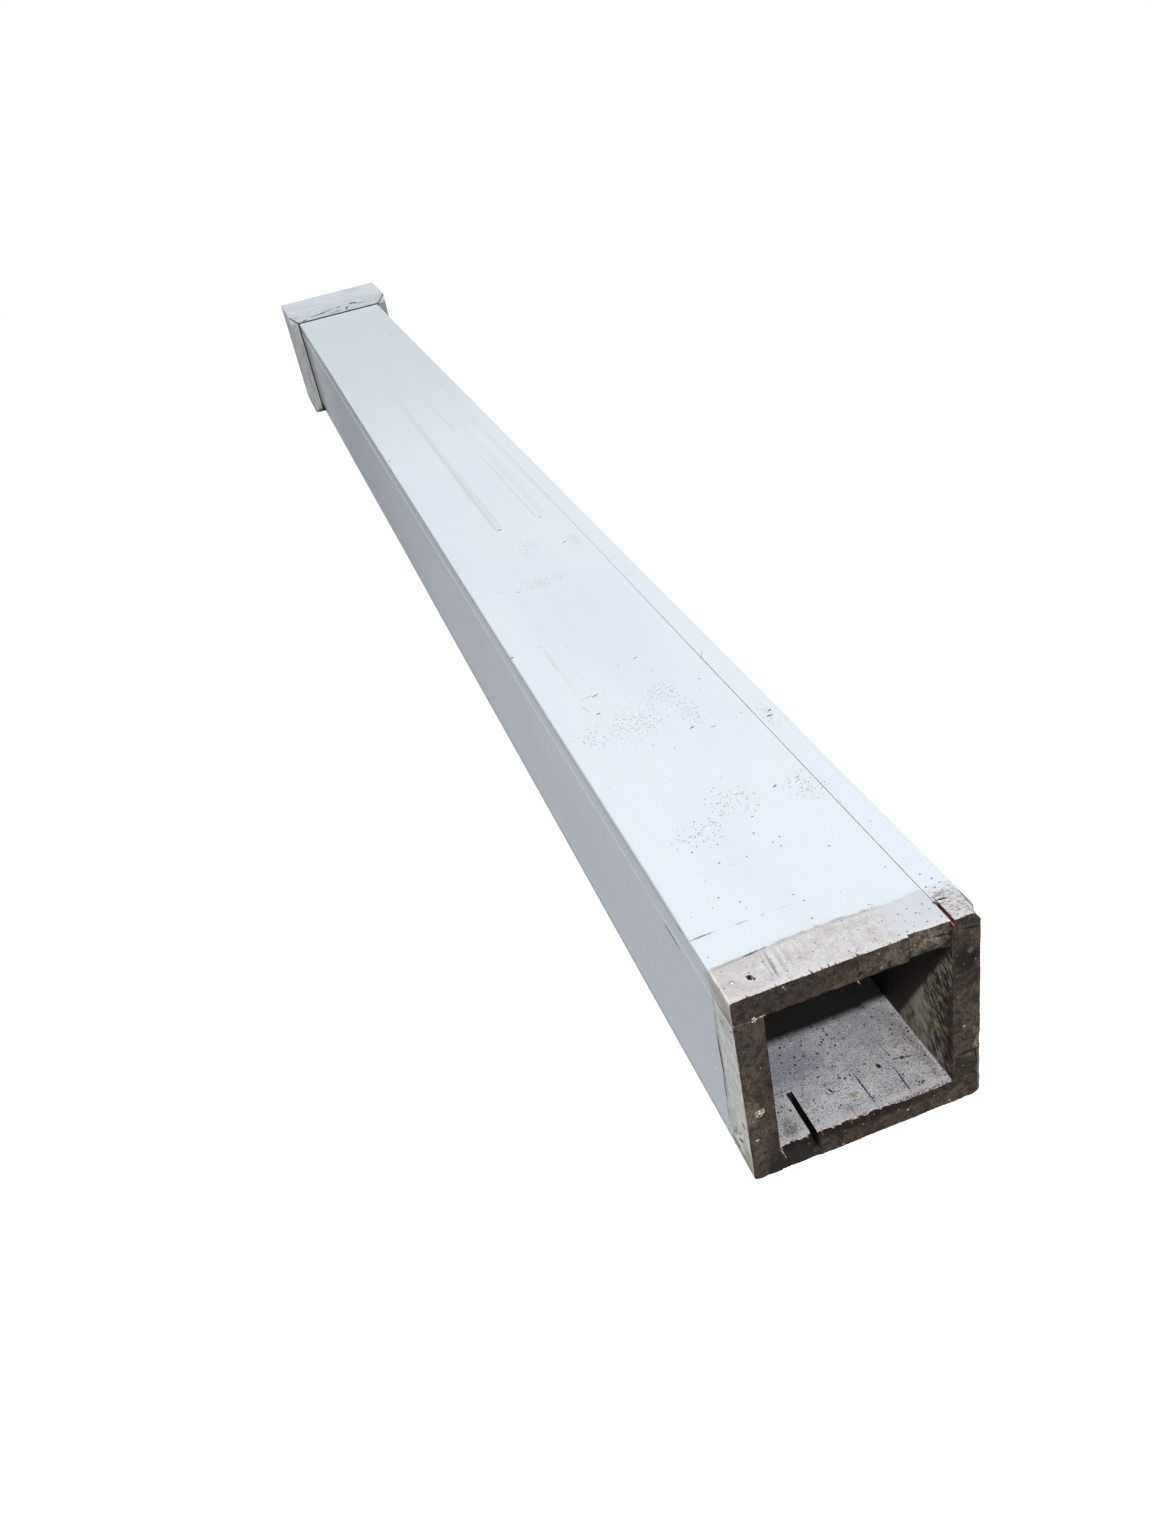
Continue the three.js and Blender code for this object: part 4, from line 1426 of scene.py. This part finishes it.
def floor_paint(place, rough_place, y):
    """The lower board's inner face: pale paint, stains, powdery grit, long checks, two sizes of mould and
    painted shade.
    """
    cloud = grain(place, (12, 16, 12), detail=5.0, roughness=0.62)
    powder = grain(place, (0.9, 1.2, 0.9), (7, 0, 0), detail=3.0, roughness=0.7)
    colour = two_tones(cloud, 0.36, 0.64, (150, 150, 155), (182, 182, 186), FLOOR_LIGHT)
    colour = marked(colour, shaken(place, 12.0, 14.0), "floor", FLOOR_LIGHT, FLOOR_STAINS_AND_SHADE)
    colour = layered(
        colour,
        FLOOR_LIGHT,
        # Painted shade: the floor darkens from 30 to 60 mm in
        (ramp(y, 30, 60, 0.0, 0.35), (118, 116, 122)),
        (ramp(powder, 0.53, 0.60, 0.0, 0.6), (84, 82, 84)),
        (times(ramp(powder, 0.46, 0.38), ramp(y, 60, 10, 0.25, 0.75)), (208, 208, 211)),
    )
    colour = marked(colour, rough_place, "floor", FLOOR_LIGHT, FLOOR_MARKS)
    colour = dotted(colour, rough_place, "floor", FLOOR_LIGHT, 1.2, INK, 0.95, FLOOR_DOTS)
    small = times(specks(place, 1.4, 0.34, 0.45), 0.6)
    large = specks(shaken(place, 3.0, 3.0), 3.8, 0.6, 0.25)
    colour = layered(
        colour,
        FLOOR_LIGHT,
        (times(maths("MAXIMUM", small, large), 0.9), INK),
        (times(ramp(y, 9.0, 3.0), ramp(powder, 0.48, 0.52), 0.8), (212, 205, 205)),
        (times(ramp(y, 6.0, 0.8), ramp(powder, 0.56, 0.48), 0.9), (44, 30, 26)),
    )
    return colour, cloud, powder


def wall_stain_and_shadow(place, y, z):
    """The side wall: grey brown wood, slanting black and rusty runs, and painted shadow, near black, beyond
    the line.
    """
    blotch = grain(place, (7, 9, 6), (2, 0, 0), detail=6.0, roughness=0.7, turn=(45, 0, 0))
    runs = grain(place, (3, 8, 2.4), (4, 0, 0), detail=6.0, roughness=0.72, turn=(50, 0, 0))
    near_foot = ramp(y, 44, 14, 0.3, 1.0)
    colour = two_tones(blotch, 0.40, 0.60, (62, 54, 46), (112, 107, 97), WALL_LIGHT)
    colour = marked(colour, shaken(place, 6.0, 9.0), "wall", WALL_LIGHT, WALL_MARKS)
    colour = layered(
        colour,
        WALL_LIGHT,
        (times(ramp(runs, 0.47, 0.52), near_foot, 0.97), (18, 13, 11)),
        (times(ramp(runs, 0.43, 0.38), near_foot, ramp(y, 3, 15), 0.75), (118, 103, 82)),
        (times(ramp(blotch, 0.58, 0.66), near_foot, 0.5), RUST),
        # Painted shadow: near black above the slanting line where the top board's edge shades the wall
        (ramp(maths("MULTIPLY_ADD", y, 1.75, z), 131, 139, 0.0, 0.95), (19, 15, 11)),
    )
    return colour, blotch


def channel_material():
    """Inside faces: pale mouldy paint on the lower board, brown and black damp on the walls, and painted
    shade further in.
    """
    material, tree = new_material("channel_face")
    place = shaft_place(tree)
    rough_place = shaken(place, 1.6, 1.4)
    _, y, z = apart(place)
    floor_colour, cloud, powder = floor_paint(place, rough_place, y)
    wall_colour, blotch = wall_stain_and_shadow(place, y, z)
    on_floor = ramp(z, BOARD + 1.4, BOARD + 0.4)
    # Painted shade: from 82 to 94 mm in, where the lamp's shadow falls, the wall takes a dark plain tone and
    # the floor plain pale paint
    inner_tone = over(on_floor, shade((44, 38, 33)), shade((150, 146, 145)))
    colour = over(on_floor, wall_colour, floor_colour)
    colour = over(ramp(y, 82, 94, 0.0, 0.85), colour, inner_tone)
    height = maths("MULTIPLY_ADD", powder, 0.4, cloud)
    finish_material(colour, 0.85, maths("MULTIPLY_ADD", blotch, 0.5, height), 0.5)
    return material


print(len(FLOOR_STAINS_AND_SHADE) + len(FLOOR_MARKS), "marks on the floor,", len(WALL_MARKS), "on the wall")

# %% [markdown]
# Butted edges and saw slots
# The edges that butt in the seams, the head's cut and the sides of the slots are bare wood too. In the
# short slot by the seam the wood is fresh and red, and the long slot is black.

# %% Bare edges
def edge_material(name, dark, light, light_on_it, at_cut=None):
    """Plain bare wood between two tones, and a third where it runs out low in the foot's cut."""
    material, tree = new_material(name)
    place = shaft_place(tree)
    bare_light = light_on_it / WOOD_GAIN
    tone = broad_tone(place, dark, light, bare_light)
    if at_cut:
        _, y, z = apart(place)
        tone = layered(tone, bare_light, (times(ramp(y, 6, 2), ramp(z, 16.5, 12.5)), at_cut))
    colour, height = roughened(place, tone)
    finish_material(colour, 0.85, height, 0.5)
    return material


cut_wood = sawn_end_material()
channel_face = channel_material()
raw_wood = edge_material("raw_board_edge", (78, 71, 62), (112, 103, 91), 0.9)
red_wood = edge_material("fresh_red_slot", (100, 62, 55), (124, 80, 72), 0.62)
black_wood = edge_material("black_slot", (18, 15, 13), (30, 25, 22), 0.8, (58, 50, 41))

for side, board in shafts.items():
    slot_wood = black_wood if side == "bottom" else red_wood
    for material in (paint_material(side), cut_wood, channel_face, raw_wood, slot_wood):
        board.data.materials.append(material)
    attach(board, "root")
    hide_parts(f"shaft_board_{side}")
print("materials of the last board:", [material.name for material in board.data.materials])

# %% [markdown]
# Paint on the collar
# The collar's paint is duller, and its near edges are grey, with dirt lying in lines, dark mitres and
# a black band where it meets the shaft, painted shade of the gap there. The near edges and the outer faces
# are two materials.

# %% Collar paint
COLLAR_FRONT_LIGHT = 1.06
GAP_REACH = 3.0
GAP_FULL = 1.7
COLLAR_MARKS = [
    (98, 163.5, 1.6, 6.0, -28, (40, 40, 40), 1.0),
    (112, 169.6, 11.0, 1.8, -3, (76, 76, 76), 0.95),
    (-4, -14, 12, 6, 0, (78, 68, 58), 0.95),
    (-2.5, -7.5, 1.4, 4.0, 30, (52, 50, 50), 0.95),
    (82, 169, 6.0, 1.8, 0, (120, 112, 104), 0.85),
    (12, 159.5, 7.0, 1.8, 10, (110, 108, 104), 0.85),
    (40, 164, 24, 1.0, 3, (92, 93, 93), 0.9),
    (58, 166.2, 22, 1.0, 4, (98, 98, 97), 0.85),
    (76, 161, 16, 1.0, 0, (108, 108, 106), 0.8),
    (124, 166.5, 14, 0.9, -6, (120, 120, 119), 0.75),
    (-6, 100, 1.2, 30, 0, (132, 134, 132), 0.6),
    (-10, 50, 1.4, 26, 3, (136, 138, 136), 0.6),
]


def collar_outer_material(side):
    """The outer faces of one collar board: dull paint, a dirtier near edge, dust."""
    material, tree = new_material(f"collar_paint_{side}")
    place = shaft_place(tree)
    _, y, _ = apart(place)
    light = 0.72 if side == "left" else 1.0
    fresh = (184, 186, 188) if side == "left" else (212, 219, 225)
    dull = (168, 168, 166) if side == "left" else (202, 209, 214)
    slow = grain(place, (46, 60, 46), detail=4.0)
    powder = grain(place, (3.5, 3.5, 3.5), (5, 0, 0), detail=4.0)
    flat = laid_flat(place, SIDE_TURN) if side in ("left", "right") else place
    edge = times(ramp(y, COLLAR_START + 26, COLLAR_START + 2), ramp(powder, 0.4, 0.6), 0.5)
    colour = layered(
        two_tones(slow, 0.38, 0.62, fresh, dull, light),
        light,
        (edge, [0.82 * value for value in dull]),
        (times(specks(flat, 4.0, 0.15, 0.25), 0.5), (130, 128, 126)),
    )
    finish_material(colour, 0.6, maths("MULTIPLY_ADD", powder, 0.4, slow), 0.4)
    return material


def collar_near_material():
    """The near edges: grey paint with dirt in lines, dark mitres, and painted shade of the gap round the
    shaft as a black band.
    """
    material, tree = new_material("collar_near_edge")
    place = shaft_place(tree)
    rough_place = shaken(place, 3.0, 2.4)
    x, _, z = apart(place)
    level = grain(place, (24, 8, 1.8), detail=5.0, roughness=0.65)
    upright = grain(place, (1.8, 8, 24), detail=5.0, roughness=0.65)
    light = COLLAR_FRONT_LIGHT
    lower_half = times(ramp(z, BOX_HEIGHT + 10, BOX_HEIGHT + 3, 0.0, 0.22), ramp(level, 0.36, 0.56))
    upper = two_tones(level, 0.38, 0.60, (184, 188, 189), (207, 212, 216), light)
    upper = layered(upper, light, (lower_half, (156, 158, 156)))
    beside = two_tones(upright, 0.38, 0.60, (153, 156, 156), (170, 173, 174), light)
    beside = layered(beside, light, (ramp(x, 100, 150, 0.0, 0.4), (112, 114, 114)))
    colour = over(ramp(z, BOX_HEIGHT, BOX_HEIGHT + 2), beside, upper)
    colour = marked(colour, rough_place, "collar", light, COLLAR_MARKS)
    # Painted shade: a black band on the near edges next to the shaft, where the real gap is
    above = maths("SUBTRACT", z, BOX_HEIGHT)
    aside = maths("MAXIMUM", maths("SUBTRACT", x, BOX_WIDTH), maths("MULTIPLY", x, -1.0))
    gap = ramp(maths("MAXIMUM", above, aside), GAP_REACH, GAP_FULL, 0.0, 0.98)
    off_mitre = maths("ABSOLUTE", maths("SUBTRACT", above, aside))
    mitre = times(ramp(off_mitre, 2.4, 0.9), ramp(aside, -1.0, 0.5), 0.8)
    colour = layered(colour, light, (gap, (22, 22, 24)), (mitre, (58, 58, 60)))
    finish_material(colour, 0.65, maths("ADD", level, upright), 0.5)
    return material


collar_near = collar_near_material()
for side, collar in collars.items():
    for material in (collar_outer_material(side), collar_near, raw_wood):
        collar.data.materials.append(material)
    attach(collar, "root")
    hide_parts(f"collar_board_{side}")


print(len(COLLAR_MARKS), "marks on the near edges of the collar")

# %% [markdown]
# The nail
# One nail head shows near the foot, a little below the paint and painted over. It is a turned piece,
# a profile carried round a circle.

# %% Closed tubes
def closed_tube(rings):
    """Vertices and faces of rings of points joined in order, each end closed by a fan to its middle."""
    count = rings.shape[1]
    vertices = np.concatenate([rings.reshape(-1, 3), [rings[0].mean(0)], [rings[-1].mean(0)]])
    row = np.arange(len(rings) - 1)[:, None] * count
    i = np.arange(count)
    following = (i + 1) % count
    quads = np.stack([row + i, row + count + i, row + count + following, row + following], axis=-1)
    first = np.full(count, len(vertices) - 2)
    end = (len(rings) - 1) * count
    fans = np.concatenate(
        [np.stack([first, i, following], axis=-1), np.stack([first + 1, end + following, end + i], axis=-1)]
    )
    return vertices, quads.reshape(-1, 4).tolist() + fans.tolist()


def put_tube(name, rings, material):
    """A closed tube of rings in shaft millimetres, as a smooth object of one material."""
    vertices, faces = closed_tube(rings)
    piece = put_mesh(name, in_frame(vertices), faces, sharp_angle=40.0)
    piece.data.materials.append(material)
    return piece


def around(count):
    """The cosines and sines of that many even steps round a circle."""
    angles = np.arange(count) * 2 * np.pi / count
    return np.cos(angles), np.sin(angles)


print("3 rings of 8 points make", len(closed_tube(np.zeros((3, 8, 3)))[1]), "faces")

# %% Nail head
NAIL_PROFILE = [(0.3, 0.1), (0.9, 0.08), (1.3, 0.0), (1.65, -0.1), (1.68, -0.5), (1.2, -0.55), (1.2, -44.0)]
NAIL_SIDES = 24
NAIL_SUNK = 0.2


def turned_rings(profile, centre, count):
    """The profile's radii and heights carried round an upright axis through the centre."""
    radii, heights = np.array(profile).T
    cosines, sines = around(count)
    level = np.repeat(heights[:, None], count, axis=1)
    return np.stack([np.outer(radii, cosines), np.outer(radii, sines), level], axis=-1) + centre


def nail_material():
    """Steel under a thin, chipped skin of paint."""
    material, tree = new_material("painted_nail")
    place = shaft_place(tree)
    chips = ramp(grain(place, (1.0, 1.0, 1.0)), 0.58, 0.66)
    crown = soft_mark(place, (*NAIL, BOX_HEIGHT), (1.4, 1.4, FACE_DEPTH), core=0.6)["Mask"]
    colour = over(crown, shade((190, 180, 176), TOP_LIGHT), shade((248, 244, 242), TOP_LIGHT))
    colour = layered(colour, TOP_LIGHT, (times(chips, 0.5), (150, 140, 134)))
    relief = put(tree, "ShaderNodeBump", {"Height": chips, "Distance": 0.1 * MILLIMETRE}, invert=True)
    values = {
        "Base Color": colour,
        "Metallic": times(chips, 0.5),
        "Roughness": ramp(chips, 0.0, 1.0, 0.5, 0.4),
        "Normal": relief.outputs[0],
    }
    surface = put(tree, "ShaderNodeBsdfPrincipled", values)
    put(tree, "ShaderNodeOutputMaterial", {"Surface": surface.outputs[0]})
    return material


nail_centre = np.array([*NAIL, BOX_HEIGHT - NAIL_SUNK])
nail = put_tube("nail_head", turned_rings(NAIL_PROFILE, nail_centre, NAIL_SIDES), nail_material())
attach(nail, "root")
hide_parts("finish_nail")
print("nail head at", in_frame(nail_centre).round(4).tolist())

# %% [markdown]
# Dabs of putty and splinters
# Bits of white putty stick to the sawn end over old nail holes, a white splinter hangs from the
# top board and a sliver of paint curls off the channel's corner. The dabs are low, lumpy domes on
# the cut; the splinters are thin tapered slips.

# %% Putty and splinters
DAB_SIDES = 22
DAB_SHARE = np.array([1.0, 0.92, 0.72, 0.45, 0.18])
DAB_RISE = np.array([-0.6, 0.35, 0.75, 0.95, 1.0])
SPLINTER_SIDES = 8
SPLINTER_STEPS = 9
SPLINTER_TIP = 0.02


def putty_material():
    """Old putty and loose paint: off-white with brown in its hollows."""
    material, tree = new_material("old_putty")
    crumbs = grain(shaft_place(tree), (1.3, 1.3, 1.3), detail=4.0)
    colour = two_tones(crumbs, 0.42, 0.60, (104, 90, 78), (216, 208, 200), END_LIGHT)
    finish_material(colour, 0.8, crumbs, 0.4)
    return material


def dab_rings(centre, radii, height, seed):
    """A low lumpy dome on the sawn end: rings shrink as they rise, with noise on radius and height."""
    cosines, sines = around(DAB_SIDES)
    circle = np.stack([cosines, sines, np.zeros(DAB_SIDES)], axis=-1)
    lump = 1 + 0.28 * noise(circle * 1.3 + 5, 1.0, seed) + 0.14 * noise(circle * 3.0 + 5, 1.0, seed + 1)
    across = centre[0] + radii[0] * np.outer(DAB_SHARE, cosines * lump)
    outward = -height * DAB_RISE[:, None] * (1 + 0.25 * noise(circle * 2.0 + 9, 1.0, seed + 2))
    upward = centre[1] + radii[1] * np.outer(DAB_SHARE, sines * lump)
    return np.stack([across, outward, upward], axis=-1)[:, ::-1]


def splinter_rings(path, width, thickness):
    """A tapered slip along a path: its flat section shrinks from the root to the tip."""
    path = np.array(path, float)
    t = np.linspace(0, 1, SPLINTER_STEPS)
    stops = np.linspace(0, 1, len(path))
    middle = np.stack([np.interp(t, stops, path[:, axis]) for axis in range(3)], axis=-1)
    taper = np.sqrt(np.clip(1 - t, SPLINTER_TIP, 1))
    cosines, sines = around(SPLINTER_SIDES)
    across = np.outer(taper * width / 2, cosines)
    outward = np.outer(taper * thickness / 2, sines)
    return middle[:, None, :] + np.stack([across, outward, 0 * across], axis=-1)


dabs = (
    ((13.2, 136.7), (1.7, 2.0), 0.1),
    ((17.8, 137.4), (2.4, 0.6), 0.1),
    ((8.9, 59.4), (3.2, 3.0), 0.5),
    ((5.1, 36.0), (1.1, 0.9), 0.3),
    ((147.4, 65.7), (1.0, 0.9), 0.4),
)
loose = {f"putty_dab_{number}": dab_rings(*dab, 40 + number) for number, dab in enumerate(dabs)}
hanging = [(78.2, 1.4, 138.5), (79.0, 0.5, 135.5), (80.2, 0.3, 133.2)]
curling = [(19.4, 1.2, 20.5), (20.0, 0.0, 17.0), (21.6, -0.7, 11.6)]
loose["hanging_splinter"] = splinter_rings(hanging, 1.5, 0.6)
loose["paint_sliver"] = splinter_rings(curling, 1.7, 0.6)
old_putty = putty_material()
for name, rings in loose.items():
    piece = put_tube(name, rings, old_putty)
    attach(piece, "root")
print(len(dabs), "dabs of putty and two splinters on the sawn end")
